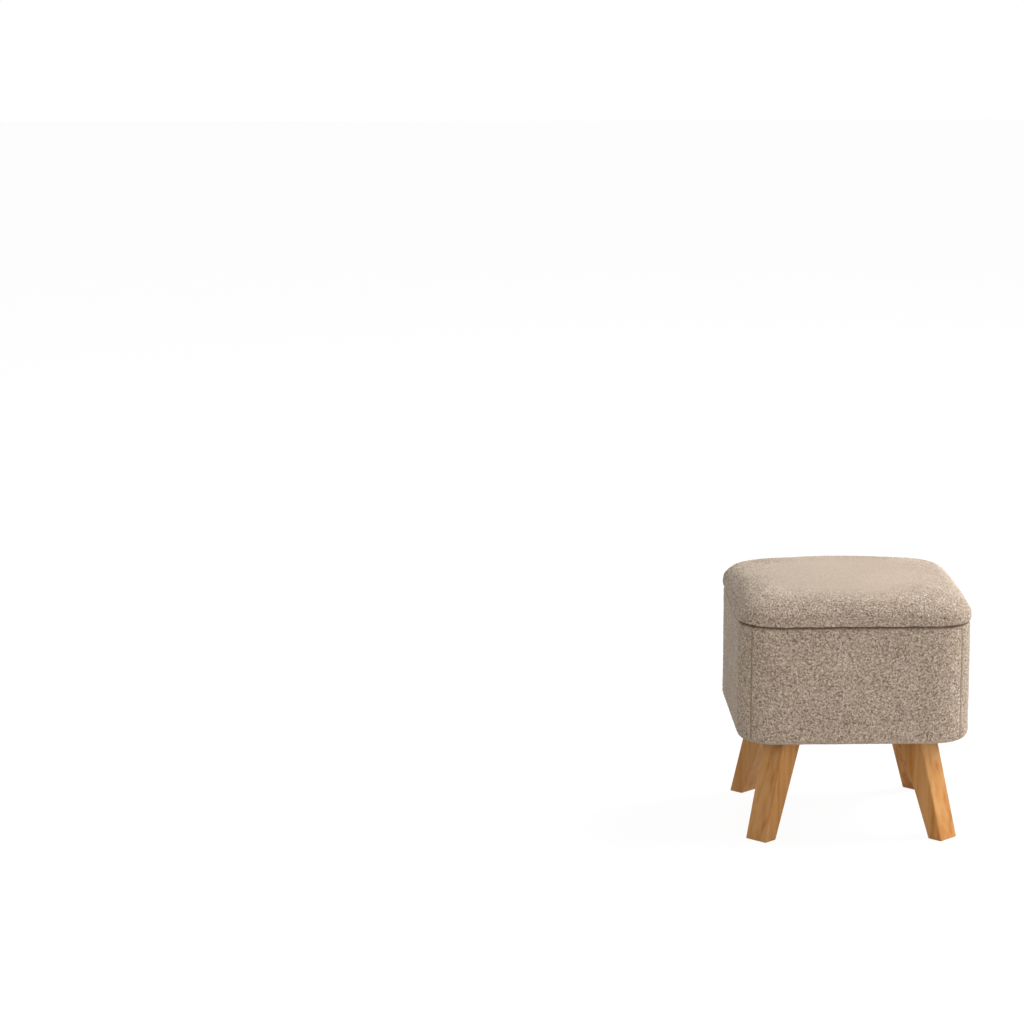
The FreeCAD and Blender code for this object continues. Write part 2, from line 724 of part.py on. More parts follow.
def box_nodes():
    """Case, padding, covers, linings and legs."""
    pins = dowels()
    case_holes = case_screws(screw_hole)
    wall_holes = wall_screws(screw_hole)
    nodes = case_parts(pins + case_holes + wall_holes + leaf_screws(screw_hole, "box"))
    nodes["bottom_board"] = bottom_board(case_holes)
    nodes["corner_dowels"] = Part.makeCompound(pins)
    nodes["case_screws"] = Part.makeCompound(case_screws(screw))
    nodes["side_padding"] = side_padding()
    nodes.update(box_covers())
    nodes["lining_walls"] = lining_walls().cut(wall_holes)
    nodes["lining_floor"] = lining_floor()
    nodes["dust_cover"] = dust_cover()
    nodes.update({name: leg(sx, sy) for name, (sx, sy) in LEGS.items()})
    nodes["leg_bolts"] = Part.makeCompound([leg_bolt(p) for p in bolt_points()])
    nodes["leg_washers"] = Part.makeCompound([leg_washer(p) for p in bolt_points()])
    nodes["leg_inserts"] = Part.makeCompound([leg_insert(p) for p in bolt_points()])
    return nodes


def lid_nodes():
    """Board, cushion, cover and lining of the lid."""
    holes = leaf_screws(screw_hole, "lid") + flange_screws(screw_hole)
    return {
        "lid_board": lid_board().cut(holes),
        "lid_foam": lid_foam(),
        "lid_cover": lid_cover(),
        "lid_lining": lid_lining().cut(flange_screws(screw_hole)),
    }


def hardware_nodes():
    """Hinges and stay."""
    nodes = {}
    for side, x in zip(("left", "right"), hinge_positions()):
        nodes["hinge_" + side + "_box_leaf"] = leaf(x, "box")
        nodes["hinge_" + side + "_lid_leaf"] = leaf(x, "lid")
        nodes["hinge_" + side + "_pin"] = hinge_pin(x)
    nodes["hinge_box_screws"] = Part.makeCompound(leaf_screws(screw, "box"))
    nodes["hinge_lid_screws"] = Part.makeCompound(leaf_screws(screw, "lid"))
    nodes["stay_box_bracket"] = stay_box_bracket()
    nodes["stay_box_screws"] = Part.makeCompound(wall_screws(screw))
    nodes["stay_lid_bracket"] = stay_lid_bracket()
    nodes["stay_lid_screws"] = Part.makeCompound(flange_screws(screw))
    nodes["stay_lower_arm"] = stay_lower_arm()
    nodes["stay_upper_arm"] = stay_upper_arm()
    nodes.update(stay_pins())
    return nodes


def main():
    os.makedirs("parts", exist_ok=True)
    for nodes in (box_nodes(), lid_nodes(), hardware_nodes()):
        for name, shape in nodes.items():
            shape.translate(V(0, SHIFT_Y, 0))
            shape.exportStep("parts/" + name + ".step")


main()
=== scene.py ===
import json
import logging
import math
from collections.abc import Callable, Iterator, Sequence
from contextlib import contextmanager
from dataclasses import dataclass, field
from enum import Enum

import bmesh
import bpy
import numpy as np
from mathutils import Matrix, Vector


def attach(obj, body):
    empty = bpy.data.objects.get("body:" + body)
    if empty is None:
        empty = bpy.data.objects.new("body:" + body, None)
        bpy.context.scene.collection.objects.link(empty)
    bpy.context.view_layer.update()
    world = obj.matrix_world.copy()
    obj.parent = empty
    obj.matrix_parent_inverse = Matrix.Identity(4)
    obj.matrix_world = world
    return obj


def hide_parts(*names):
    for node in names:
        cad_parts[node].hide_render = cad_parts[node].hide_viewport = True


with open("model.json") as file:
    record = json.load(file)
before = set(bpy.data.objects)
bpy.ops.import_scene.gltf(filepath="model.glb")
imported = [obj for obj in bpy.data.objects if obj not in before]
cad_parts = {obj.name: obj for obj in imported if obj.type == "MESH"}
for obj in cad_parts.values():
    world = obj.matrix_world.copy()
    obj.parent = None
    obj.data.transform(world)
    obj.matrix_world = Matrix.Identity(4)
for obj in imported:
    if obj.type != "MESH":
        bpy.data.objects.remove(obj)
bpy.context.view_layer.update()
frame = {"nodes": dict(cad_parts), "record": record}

log = logging.getLogger("footstool")

MM = 0.001

# Sizes shared with the construction, in metres
MIDDLE_Y = -2.15 * MM
BOX_HALF = 182.0 * MM
BOX_CORNER = 60.0 * MM
ARC_START = 122.0 * MM
WOOD_HALF = 171.6 * MM
CAVITY_HALF = 159.6 * MM
TURNED_HALF = 148.0 * MM
BOX_BASE = 160.0 * MM
RIM = 348.7 * MM
LID_BASE = 349.3 * MM
LID_HALF = 184.5 * MM
LID_CORNER = 62.5 * MM
TOP = 400.0 * MM
HINGE_Y = 183.45 * MM
HINGE_Z = 349.0 * MM
HINGE_X = 85.0 * MM
LEAF_HALF = 25.0 * MM
LEAF_ROOM = 0.6 * MM

# Distance below which two places count as the same
TINY = 1e-5

# Share of the pile's height that is left where lid and box press on each other
PRESSED_PILE = 0.12


class Slot(Enum):
    """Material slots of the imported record."""

    FLEECE = "teddy_fleece"
    FOAM = "foam"
    BOARD = "case_wood"
    BEECH = "leg_wood"
    LINING = "lining_cloth"
    DUST = "dust_cloth"
    ZINC = "zinc_steel"


class Body(Enum):
    """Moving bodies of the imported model."""

    BOX = "box"
    LID = "lid"


class Side(Enum):
    """Sides of the stool, by quarter turns from the front."""

    FRONT = 0
    RIGHT = 1
    REAR = 2
    LEFT = 3


# Working with Blender's operators


def pick(piece: bpy.types.Object) -> None:
    """Make one object the only selected and the active one.

    Args:
        piece: Object to pick.
    """
    bpy.ops.object.select_all(action="DESELECT")
    piece.select_set(True)
    bpy.context.view_layer.objects.active = piece


@contextmanager
def editing(piece: bpy.types.Object, kind: str = "VERT") -> Iterator[None]:
    """Hold an object in edit mode with nothing selected.

    Args:
        piece: Object to edit.
        kind: VERT, EDGE or FACE, what is to be selected.
    Yields:
        Nothing, while the object is in edit mode.
    """
    pick(piece)
    bpy.ops.object.mode_set(mode="EDIT")
    bpy.ops.mesh.select_mode(type=kind)
    bpy.ops.mesh.select_all(action="DESELECT")
    yield
    bpy.ops.object.mode_set(mode="OBJECT")


def select_where(piece: bpy.types.Object, parts: str, wanted: Callable[..., bool]) -> int:
    """Select the elements of an open mesh that pass a test, and no others.

    Args:
        piece: Object in edit mode.
        parts: verts, edges or faces.
        wanted: Test that takes one element.
    Returns:
        How many were selected.
    """
    bpy.ops.mesh.select_all(action="DESELECT")
    mesh = bmesh.from_edit_mesh(piece.data)
    found = [part for part in getattr(mesh, parts) if wanted(part)]
    for part in found:
        part.select_set(True)
    mesh.select_flush_mode()
    bmesh.update_edit_mesh(piece.data, loop_triangles=False, destructive=False)
    return len(found)


def add_primitive(
    adder: Callable[..., object],
    name: str,
    middle: Sequence[float],
    size: Sequence[float],
    turn: Sequence[float] = (0.0, 0.0, 0.0),
) -> bpy.types.Object:
    """Add a cube or a plane, with its size, place and turn moved into its mesh.

    Args:
        adder: Operator that adds it.
        name: Name of the piece.
        middle: Where its middle is.
        size: Its size along its own axes.
        turn: Its turn about x, y and z.
    Returns:
        The new object.
    """
    bpy.ops.object.select_all(action="DESELECT")
    adder(size=1.0, location=middle, rotation=turn)
    piece = bpy.context.object
    piece.scale = size
    piece.name = name
    piece.data.name = name
    pick(piece)
    bpy.ops.object.transform_apply(location=True, rotation=True, scale=True)
    return piece


def extrude(x: float, y: float, z: float) -> None:
    """Extrude what is selected by a step along the axes."""
    bpy.ops.mesh.extrude_region_move(TRANSFORM_OT_translate={"value": (x, y, z)})


def upright(least: float) -> Callable[[bmesh.types.BMEdge], bool]:
    """Make a test for edges that rise by more than a least height."""
    return lambda e: abs(e.verts[0].co.z - e.verts[1].co.z) > least


def level(z: float) -> Callable[[bmesh.types.BMEdge], bool]:
    """Make a test for edges that lie at one height."""
    return lambda e: all(abs(v.co.z - z) < TINY for v in e.verts)


def bevel_where(
    piece: bpy.types.Object, parts: str, wanted: Callable[..., bool], offset: float, segments: int
) -> None:
    """Round the edges or the corner points that pass a test.

    Args:
        piece: Object in edit mode.
        parts: verts or edges.
        wanted: Test that takes one element.
        offset: How far from it the rounding starts.
        segments: Number of steps in it.
    """
    select_where(piece, parts, wanted)
    bpy.ops.mesh.bevel(offset=offset, segments=segments, affect="EDGES" if parts == "edges" else "VERTICES")


def apply_modifier(piece: bpy.types.Object, kind: str, **settings: object) -> None:
    """Add a modifier, set it and apply it.

    Args:
        piece: Object to change.
        kind: Modifier type, such as SOLIDIFY.
        settings: The modifier's properties.
    """
    pick(piece)
    modifier = piece.modifiers.new(kind.lower(), kind)
    for key, value in settings.items():
        setattr(modifier, key, value)
    bpy.ops.object.modifier_apply(modifier=modifier.name)


def cut_away(piece: bpy.types.Object, cutter: bpy.types.Object) -> None:
    """Take a cutter's form out of a piece, and the cutter out of the scene."""
    apply_modifier(piece, "BOOLEAN", object=cutter, operation="DIFFERENCE", solver="EXACT")
    bpy.data.objects.remove(cutter)


def points_of(piece: bpy.types.Object) -> np.ndarray:
    """Read a mesh's points as an array of rows x, y, z."""
    points = np.zeros(len(piece.data.vertices) * 3, np.float32)
    piece.data.vertices.foreach_get("co", points)
    return points.reshape(-1, 3).astype(float)


def normals_of(piece: bpy.types.Object) -> np.ndarray:
    """Read a mesh's point normals as an array of rows x, y, z."""
    normals = np.zeros(len(piece.data.vertices) * 3, np.float32)
    piece.data.vertex_normals.foreach_get("vector", normals)
    return normals.reshape(-1, 3).astype(float)


def place_points(piece: bpy.types.Object, points: np.ndarray) -> None:
    """Write a mesh's points back.

    Args:
        piece: Object to change.
        points: One row x, y, z to each vertex.
    """
    piece.data.vertices.foreach_set("co", points.astype(np.float32).ravel())
    piece.data.update()


def weigh(piece: bpy.types.Object, name: str, weights: np.ndarray) -> None:
    """Store weights from 0 to 1 as a vertex group, in steps fine enough not to show.

    Args:
        piece: Object that gets the group.
        name: Name of the group.
        weights: One weight to each vertex.
    """
    fineness = 40
    group = piece.vertex_groups.get(name) or piece.vertex_groups.new(name=name)
    steps = np.rint(np.clip(weights, 0, 1) * fineness).astype(int)
    for step in np.unique(steps):
        chosen = np.flatnonzero(steps == step)
        group.add(chosen.tolist(), step / fineness, "REPLACE")


def weights_of(piece: bpy.types.Object, name: str) -> np.ndarray:
    """Read a vertex group.

    Args:
        piece: Mesh.
        name: Name of the group.
    Returns:
        One weight to each vertex, 0 where it isn't in the group.
    """
    index = piece.vertex_groups[name].index
    weights = np.zeros(len(piece.data.vertices), np.float32)
    for vertex in piece.data.vertices:
        for entry in vertex.groups:
            if entry.group == index:
                weights[vertex.index] = entry.weight
    return weights


def ramp(values: np.ndarray, low: float, high: float, least: float = 0.0) -> np.ndarray:
    """Rise smoothly from the least share at low to 1 at high.

    Args:
        values: Values to turn into shares.
        low: Value that gives the least share.
        high: Value that gives 1.
        least: The least share.
    Returns:
        Shares from the least to 1.
    """
    share = np.clip((values - low) / (high - low), 0, 1)
    return least + (1.0 - least) * share * share * (3 - 2 * share)


def hump(values: np.ndarray, middle: float, width: float) -> np.ndarray:
    """Rise to 1 at the middle and fall off smoothly over the width on either side."""
    return np.exp(-(((values - middle) / width) ** 2))


def beside_leaf(x: float) -> bool:
    """Tell whether a place across the stool is where a hinge leaf lies."""
    return abs(abs(x) - HINGE_X) < LEAF_HALF + LEAF_ROOM


def inset_of(points: np.ndarray, half: float, corner: float) -> np.ndarray:
    """Measure how far points lie inside a square plan with rounded corners.

    Args:
        points: Rows x, y, z.
        half: Half the width of the plan.
        corner: Radius of its corners.
    Returns:
        Distance from the outline, more than 0 inside it.
    """
    beyond = np.abs(points[:, :2] - np.array([0.0, MIDDLE_Y])) - (half - corner)
    outside = np.hypot(np.maximum(beyond[:, 0], 0.0), np.maximum(beyond[:, 1], 0.0))
    return corner - outside - np.minimum(beyond.max(axis=1), 0.0)


def evened(piece: bpy.types.Object, moves: np.ndarray, rounds: int) -> np.ndarray:
    """Average the moves of neighbouring points over and over, so that only their slow part is left.

    Args:
        piece: Mesh whose edges say which points are neighbours.
        moves: One row x, y, z to each vertex.
        rounds: How often to average.
    Returns:
        The evened rows.
    """
    ends = np.zeros(len(piece.data.edges) * 2, np.int32)
    piece.data.edges.foreach_get("vertices", ends)
    one, other = ends.reshape(-1, 2).T
    count = np.bincount(np.concatenate((one, other)), minlength=len(moves))[:, None]
    out = moves.copy()
    for _ in range(rounds):
        total = np.zeros_like(out)
        for axis in range(3):
            total[:, axis] += np.bincount(one, out[other, axis], len(out))
            total[:, axis] += np.bincount(other, out[one, axis], len(out))
        out = (out + total / np.maximum(count, 1)) / 2
    return out


def delete_faces(piece: bpy.types.Object, wanted: Callable[..., bool]) -> None:
    """Delete the faces of a piece that pass a test.

    Args:
        piece: Object to cut.
        wanted: Test that takes one face.
    """
    with editing(piece, "FACE"):
        if select_where(piece, "faces", wanted):
            bpy.ops.mesh.delete(type="FACE")


def duplicate(piece: bpy.types.Object, name: str) -> bpy.types.Object:
    """Copy an object with a mesh of its own.

    Args:
        piece: Object to copy.
        name: Name of the copy.
    Returns:
        The copy.
    """
    copy = piece.copy()
    copy.data = piece.data.copy()
    copy.name = name
    copy.data.name = name
    bpy.context.scene.collection.objects.link(copy)
    return copy


def turned_points(points: np.ndarray, quarters: int) -> np.ndarray:
    """Turn points about the stool's upright middle line by quarter turns.

    Args:
        points: Rows x, y, z.
        quarters: Quarter turns from the front towards the right.
    Returns:
        The turned rows.
    """
    out = points.copy()
    for _ in range(quarters % 4):
        x, y = out[:, 0].copy(), out[:, 1] - MIDDLE_Y
        out[:, 0] = -y
        out[:, 1] = x + MIDDLE_Y
    return out


def smooth(piece: bpy.types.Object, degrees: float = 40.0) -> None:
    """Shade smooth, with sharp edges kept above an angle."""
    pick(piece)
    bpy.ops.object.shade_smooth_by_angle(angle=math.radians(degrees))


# Colours and nodes


def linear(colour: str) -> tuple[float, float, float, float]:
    """Turn an sRGB hex colour into the linear values that shaders take.

    Args:
        colour: Six hex digits after a hash.
    Returns:
        Linear red, green and blue, and an alpha of 1.
    """
    parts = [int(colour[k:k + 2], 16) / 255 for k in (1, 3, 5)]
    red, green, blue = (c / 12.92 if c <= 0.04045 else ((c + 0.055) / 1.055) ** 2.4 for c in parts)
    return red, green, blue, 1.0


def add_node(
    tree: bpy.types.NodeTree,
    kind: str,
    inputs: dict[str | int, object] | None = None,
    stops: Sequence[tuple[float, str]] = (),
    **settings: object,
) -> bpy.types.Node:
    """Add a node with its settings, constants, links and colour stops.

    Args:
        tree: Node tree that gets the node.
        kind: Node type without its prefix, such as TexNoise.
        inputs: Socket names or numbers, each with a constant or an output socket.
        stops: Positions and hex colours of a colour ramp.
        settings: The node's own properties.
    Returns:
        The new node.
    """
    node = tree.nodes.new("ShaderNode" + kind)
    for key, value in settings.items():
        setattr(node, key, value)
    for key, value in (inputs or {}).items():
        if isinstance(value, bpy.types.NodeSocket):
            tree.links.new(value, node.inputs[key])
        else:
            node.inputs[key].default_value = value
    if stops:
        elements = node.color_ramp.elements
        while len(elements) < len(stops):
            elements.new(1.0)
        for element, (position, colour) in zip(elements, stops):
            element.position = position
            element.color = linear(colour)
    return node


def new_material(name: str) -> tuple[bpy.types.Material, bpy.types.NodeTree]:
    """Start an empty node material.

    Args:
        name: Name of the finish.
    Returns:
        The material and its node tree.
    """
    material = bpy.data.materials.new(name)
    material.use_nodes = True
    material.node_tree.nodes.clear()
    return material, material.node_tree


# Finishes


@dataclass(frozen=True)
class TeddyFleece:
    """Knitted fleece with a curly pile: matt, soft-edged, with painted light on its curls and painted shade
    between them.
    """

    pit_shade: str = "#947c69"
    curl: str = "#ceb9a3"
    tip_light: str = "#f4e9da"
    nub_mm: float = 2.7
    nub_middle: float = 0.35
    nub_shade: float = -0.38
    nub_relief: float = -0.8
    fibre_mm: float = 0.8
    fibre_shade: float = 0.22
    tone_mm: float = 70.0
    streak_mm: float = 9.0
    streak_share: float = 0.6

    def material(self) -> bpy.types.Material:
        """Build the fleece material.

        Returns:
            The material.
        """
        material, tree = new_material("curly_polyester_fleece")
        place = add_node(tree, "TexCoord").outputs["Object"]
        # Stored pile height, lowered where shade is painted into the grooves and seams
        pile_height_and_shade = add_node(tree, "Attribute", attribute_name="curl_height").outputs["Fac"]
        strength = add_node(tree, "Attribute", attribute_name="curl_strength").outputs["Fac"]
        # Nubs of the curls, 2.7 mm apart, finer than the modelled pile
        nubs = add_node(
            tree, "TexVoronoi", {"Vector": place, "Scale": 1000 / self.nub_mm}, feature="SMOOTH_F1"
        ).outputs["Distance"]
        # Fibres, drawn at 0.8 mm, coarser than real ones so that they show
        fibres = add_node(
            tree, "TexNoise",
            {"Vector": place, "Scale": 1000 / self.fibre_mm, "Detail": 2.0, "Distortion": 0.6},
        ).outputs["Fac"]
        # Slow change of tone where the pile lies differently, over about 70 mm
        tone = add_node(
            tree, "TexNoise", {"Vector": place, "Scale": 1000 / self.tone_mm, "Detail": 2.0}
        ).outputs["Fac"]
        # Streaks where a hand has combed the pile, 9 mm wide and eight times as long
        combed = add_node(tree, "Mapping", {"Vector": place, "Scale": (0.12, 1.0, 1.0)}).outputs["Vector"]
        streaks = add_node(
            tree, "TexNoise", {"Vector": combed, "Scale": 1000 / self.streak_mm, "Detail": 1.0}
        ).outputs["Fac"]
        drift = add_node(
            tree, "Math", {0: streaks, 1: self.streak_share, 2: tone}, operation="MULTIPLY_ADD"
        ).outputs[0]
        # The nubs count up and down from their middle, and less where the pile is pressed flat
        centred = add_node(tree, "Math", {0: nubs, 1: self.nub_middle}, operation="SUBTRACT").outputs[0]
        standing = add_node(tree, "Math", {0: centred, 1: strength}, operation="MULTIPLY").outputs[0]
        lifted = add_node(
            tree, "Math", {0: standing, 1: self.nub_shade, 2: pile_height_and_shade}, operation="MULTIPLY_ADD"
        ).outputs[0]
        spread = add_node(
            tree, "Math", {0: fibres, 1: self.fibre_shade, 2: lifted}, operation="MULTIPLY_ADD"
        ).outputs[0]
        # Painted shade and light: the ramp colours the low nubs and the pits between the curls darker and the
        # tips lighter, over the real shading of the modelled curls
        shade = add_node(
            tree, "ValToRGB", {"Fac": spread}, stops=((0.30, self.pit_shade), (0.61, self.curl), (0.92, self.tip_light))
        ).outputs["Color"]
        brightness = add_node(
            tree, "MapRange",
            {"Value": drift, "From Min": 0.5, "From Max": 1.1, "To Min": 0.95, "To Max": 1.05},
        ).outputs[0]
        colour = add_node(
            tree, "HueSaturation", {"Value": brightness, "Color": shade}
        ).outputs["Color"]
        relief = add_node(
            tree, "Math", {0: standing, 1: self.nub_relief, 2: fibres}, operation="MULTIPLY_ADD"
        ).outputs[0]
        bump = add_node(
            tree, "Bump", {"Height": relief, "Strength": 0.55, "Distance": 0.6 * MM}
        ).outputs["Normal"]
        # Knitted polyester pile: no gloss, and a soft sheen towards the edges
        shader = add_node(
            tree, "BsdfPrincipled",
            {
                "Base Color": colour, "Normal": bump, "Roughness": 0.95, "Specular IOR Level": 0.15,
                "Sheen Weight": 0.25, "Sheen Roughness": 0.5,
            },
        )
        add_node(tree, "OutputMaterial", {"Surface": shader.outputs[0]})
        return material


@dataclass(frozen=True)
class OpenCellFoam:
    """Cut polyurethane foam: matt, pale yellow, with fine open pores."""

    base: str = "#e6dcb8"
    pore_shade: str = "#c2b68d"
    pore_mm: float = 1.2

    def material(self) -> bpy.types.Material:
        """Build the foam material.

        Returns:
            The material.
        """
        material, tree = new_material("cut_polyurethane_foam")
        place = add_node(tree, "TexCoord").outputs["Object"]
        pores = add_node(
            tree, "TexVoronoi", {"Vector": place, "Scale": 1000 / self.pore_mm}
        ).outputs["Distance"]
        # Painted shade: the pores are coloured darker than the foam around them
        colour = add_node(
            tree, "ValToRGB", {"Fac": pores}, stops=((0.1, self.pore_shade), (0.45, self.base))
        ).outputs["Color"]
        bump = add_node(
            tree, "Bump", {"Height": pores, "Strength": 0.5, "Distance": 0.4 * MM}
        ).outputs["Normal"]
        # Cut foam: no gloss, and pores that catch a little shade
        shader = add_node(
            tree, "BsdfPrincipled",
            {"Base Color": colour, "Normal": bump, "Roughness": 0.95, "Specular IOR Level": 0.2},
        )
        add_node(tree, "OutputMaterial", {"Surface": shader.outputs[0]})
        return material


@dataclass(frozen=True)
class Grain:
    """Sizes and colours of a wood: how wide its rings are, how long its flecks, and how it is finished."""

    name: str
    pale: str
    mid: str
    dark: str
    ring_mm: float
    fleck_mm: float
    roughness: float
    coat: float
    drift_share: float = 0.7
    fleck_shade: float = -0.35

    def material(self) -> bpy.types.Material:
        """Build a wood with its grain along the local upright axis.

        Returns:
            The material.
        """
        material, tree = new_material(self.name)
        place = add_node(tree, "TexCoord").outputs["Object"]
        # Growth rings, drawn out twenty times along the grain
        stretched = add_node(
            tree, "Mapping", {"Vector": place, "Scale": (1.0, 1.0, 0.05)}
        ).outputs["Vector"]
        rings = add_node(
            tree, "TexNoise",
            {"Vector": stretched, "Scale": 1000 / self.ring_mm, "Detail": 3.0, "Distortion": 0.4},
        ).outputs["Fac"]
        # Short pore flecks, a tenth as wide as they are long
        slim = add_node(
            tree, "Mapping", {"Vector": place, "Scale": (1.0, 1.0, 0.1)}
        ).outputs["Vector"]
        flecks = add_node(
            tree, "TexNoise", {"Vector": slim, "Scale": 10000 / self.fleck_mm, "Detail": 1.0}
        ).outputs["Fac"]
        # Slow colour drift of the board it was cut from
        drift = add_node(
            tree, "TexNoise", {"Vector": stretched, "Scale": 1000 / (6 * self.ring_mm), "Detail": 1.0}
        ).outputs["Fac"]
        mixed = add_node(
            tree, "Math", {0: drift, 1: self.drift_share, 2: rings}, operation="MULTIPLY_ADD"
        ).outputs[0]
        dotted = add_node(
            tree, "Math", {0: flecks, 1: self.fleck_shade, 2: mixed}, operation="MULTIPLY_ADD"
        ).outputs[0]
        colour = add_node(
            tree, "ValToRGB", {"Fac": dotted}, stops=((0.4, self.dark), (0.62, self.mid), (0.86, self.pale))
        ).outputs["Color"]
        bump = add_node(
            tree, "Bump", {"Height": flecks, "Strength": 0.12, "Distance": 0.1 * MM}
        ).outputs["Normal"]
        # Sanded wood, bare or under a thin clear lacquer: a low, soft gloss
        shader = add_node(
            tree, "BsdfPrincipled",
            {
                "Base Color": colour, "Normal": bump, "Roughness": self.roughness, "IOR": 1.5,
                "Specular IOR Level": 0.3, "Coat Weight": self.coat, "Coat Roughness": 0.3,
            },
        )
        add_node(tree, "OutputMaterial", {"Surface": shader.outputs[0]})
        return material


@dataclass(frozen=True)
class WovenCloth:
    """Plain woven cloth: matt, with warp and weft showing as a fine grid."""

    name: str
    thread: str
    gap_shade: str
    pitch_mm: float
    roughness: float = 0.9
    slub_mm: float = 9.0
    slub_share: float = 0.9

    def material(self) -> bpy.types.Material:
        """Build the cloth material.

        Returns:
            The material.
        """
        material, tree = new_material(self.name)
        place = add_node(tree, "TexCoord").outputs["Object"]
        # Threads every pitch_mm along each axis, coarser than real ones so that they show
        waves = [
            add_node(
                tree, "TexWave",
                {"Vector": place, "Scale": 1000 / (self.pitch_mm * 20 / math.pi), "Distortion": 0.3},
                bands_direction=axis,
            ).outputs["Fac"]
            for axis in ("X", "Y", "Z")
        ]
        pair = add_node(tree, "Math", {0: waves[0], 1: waves[1]}, operation="ADD").outputs[0]
        weave = add_node(tree, "Math", {0: pair, 1: waves[2]}, operation="ADD").outputs[0]
        slub = add_node(
            tree, "TexNoise", {"Vector": place, "Scale": 1000 / self.slub_mm, "Detail": 3.0}
        ).outputs["Fac"]
        mixed = add_node(
            tree, "Math", {0: slub, 1: self.slub_share, 2: weave}, operation="MULTIPLY_ADD"
        ).outputs[0]
        share = add_node(
            tree, "MapRange", {"Value": mixed, "From Min": 0.0, "From Max": len(waves) + self.slub_share}
        ).outputs[0]
        # Painted shade between the threads: low weave values take the darker colour, while the slubs are the
        # yarn's own tone
        colour = add_node(
            tree, "ValToRGB", {"Fac": share}, stops=((0.0, self.gap_shade), (1.0, self.thread))
        ).outputs["Color"]
        bump = add_node(
            tree, "Bump", {"Height": weave, "Strength": 0.35, "Distance": 0.25 * MM}
        ).outputs["Normal"]
        # Woven or spun polyester: matt, with a slight sheen
        shader = add_node(
            tree, "BsdfPrincipled",
            {
                "Base Color": colour, "Normal": bump, "Roughness": self.roughness, "Specular IOR Level": 0.2,
                "Sheen Weight": 0.1,
            },
        )
        add_node(tree, "OutputMaterial", {"Surface": shader.outputs[0]})
        return material


@dataclass(frozen=True)
class ZincPlate:
    """Zinc-plated steel: a soft grey metal with a faintly mottled shine."""

    bright: str = "#c4c6c7"
    dull: str = "#b4b7b9"
    mottle_mm: float = 4.0

    def material(self) -> bpy.types.Material:
        """Build the plated steel.

        Returns:
            The material.
        """
        material, tree = new_material("zinc_plated_steel")
        place = add_node(tree, "TexCoord").outputs["Object"]
        mottle = add_node(
            tree, "TexNoise", {"Vector": place, "Scale": 1000 / self.mottle_mm, "Detail": 4.0}
        ).outputs["Fac"]
        colour = add_node(
            tree, "ValToRGB", {"Fac": mottle}, stops=((0.35, self.dull), (0.65, self.bright))
        ).outputs["Color"]
        roughness = add_node(
            tree, "MapRange", {"Value": mottle, "To Min": 0.30, "To Max": 0.42}
        ).outputs[0]
        # Zinc plating on rolled steel: a soft shine that is a little uneven
        shader = add_node(
            tree, "BsdfPrincipled", {"Base Color": colour, "Metallic": 1.0, "Roughness": roughness}
        )
        add_node(tree, "OutputMaterial", {"Surface": shader.outputs[0]})
        return material


def finishes() -> dict[Slot, bpy.types.Material]:
    """Build the material of each slot.

    Returns:
        The materials by their slots.
    """
    return {
        Slot.FLEECE: TeddyFleece().material(),
        Slot.FOAM: OpenCellFoam().material(),
        Slot.BEECH: Grain("lacquered_beech", "#e6ab69", "#d9964f", "#b26f34", 9.0, 2.6, 0.5, 0.05).material(),
        Slot.BOARD: Grain(
            "sanded_poplar_board", "#e9d9b9", "#dcc8a0", "#c9b085", 14.0, 3.0, 0.7, 0.0
        ).material(),
        Slot.LINING: WovenCloth("woven_polyester_lining", "#a69a8b", "#7f7466", 1.3).material(),
        Slot.DUST: WovenCloth("spun_bonded_dust_cloth", "#2a2a2b", "#151516", 1.6).material(),
        Slot.ZINC: ZincPlate().material(),
    }


@dataclass
class Dresser:
    """Gives pieces and CAD nodes their finishes, and puts the pieces on the frame."""

    finishes: dict[Slot, bpy.types.Material]

    def place(self, piece: bpy.types.Object, node: str, body: Body, slot: Slot) -> None:
        """Finish a piece and let it stand for a CAD node.

        Args:
            piece: Complete mesh.
            node: CAD node that it stands for.
            body: Body that it rides on.
            slot: Its material slot.
        """
        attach(piece, body.value)
        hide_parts(node)
        piece.data.materials.clear()
        piece.data.materials.append(self.finishes[slot])
        log.info("%s: %d triangles", piece.name, sum(len(p.vertices) - 2 for p in piece.data.polygons))

    def dress_cad_nodes(self) -> None:
        """Give the CAD nodes that stay their real finishes."""
        slots = {part["node"]: Slot(part["material_slot"]) for part in frame["record"]["subparts"]}
        for name, node in frame["nodes"].items():
            finish = self.finishes[slots[name]]
            for place in node.material_slots:
                place.link = "DATA"
            if not node.data.materials:
                node.data.materials.append(finish)
            for index in range(len(node.data.materials)):
                node.data.materials[index] = finish


# Curly pile


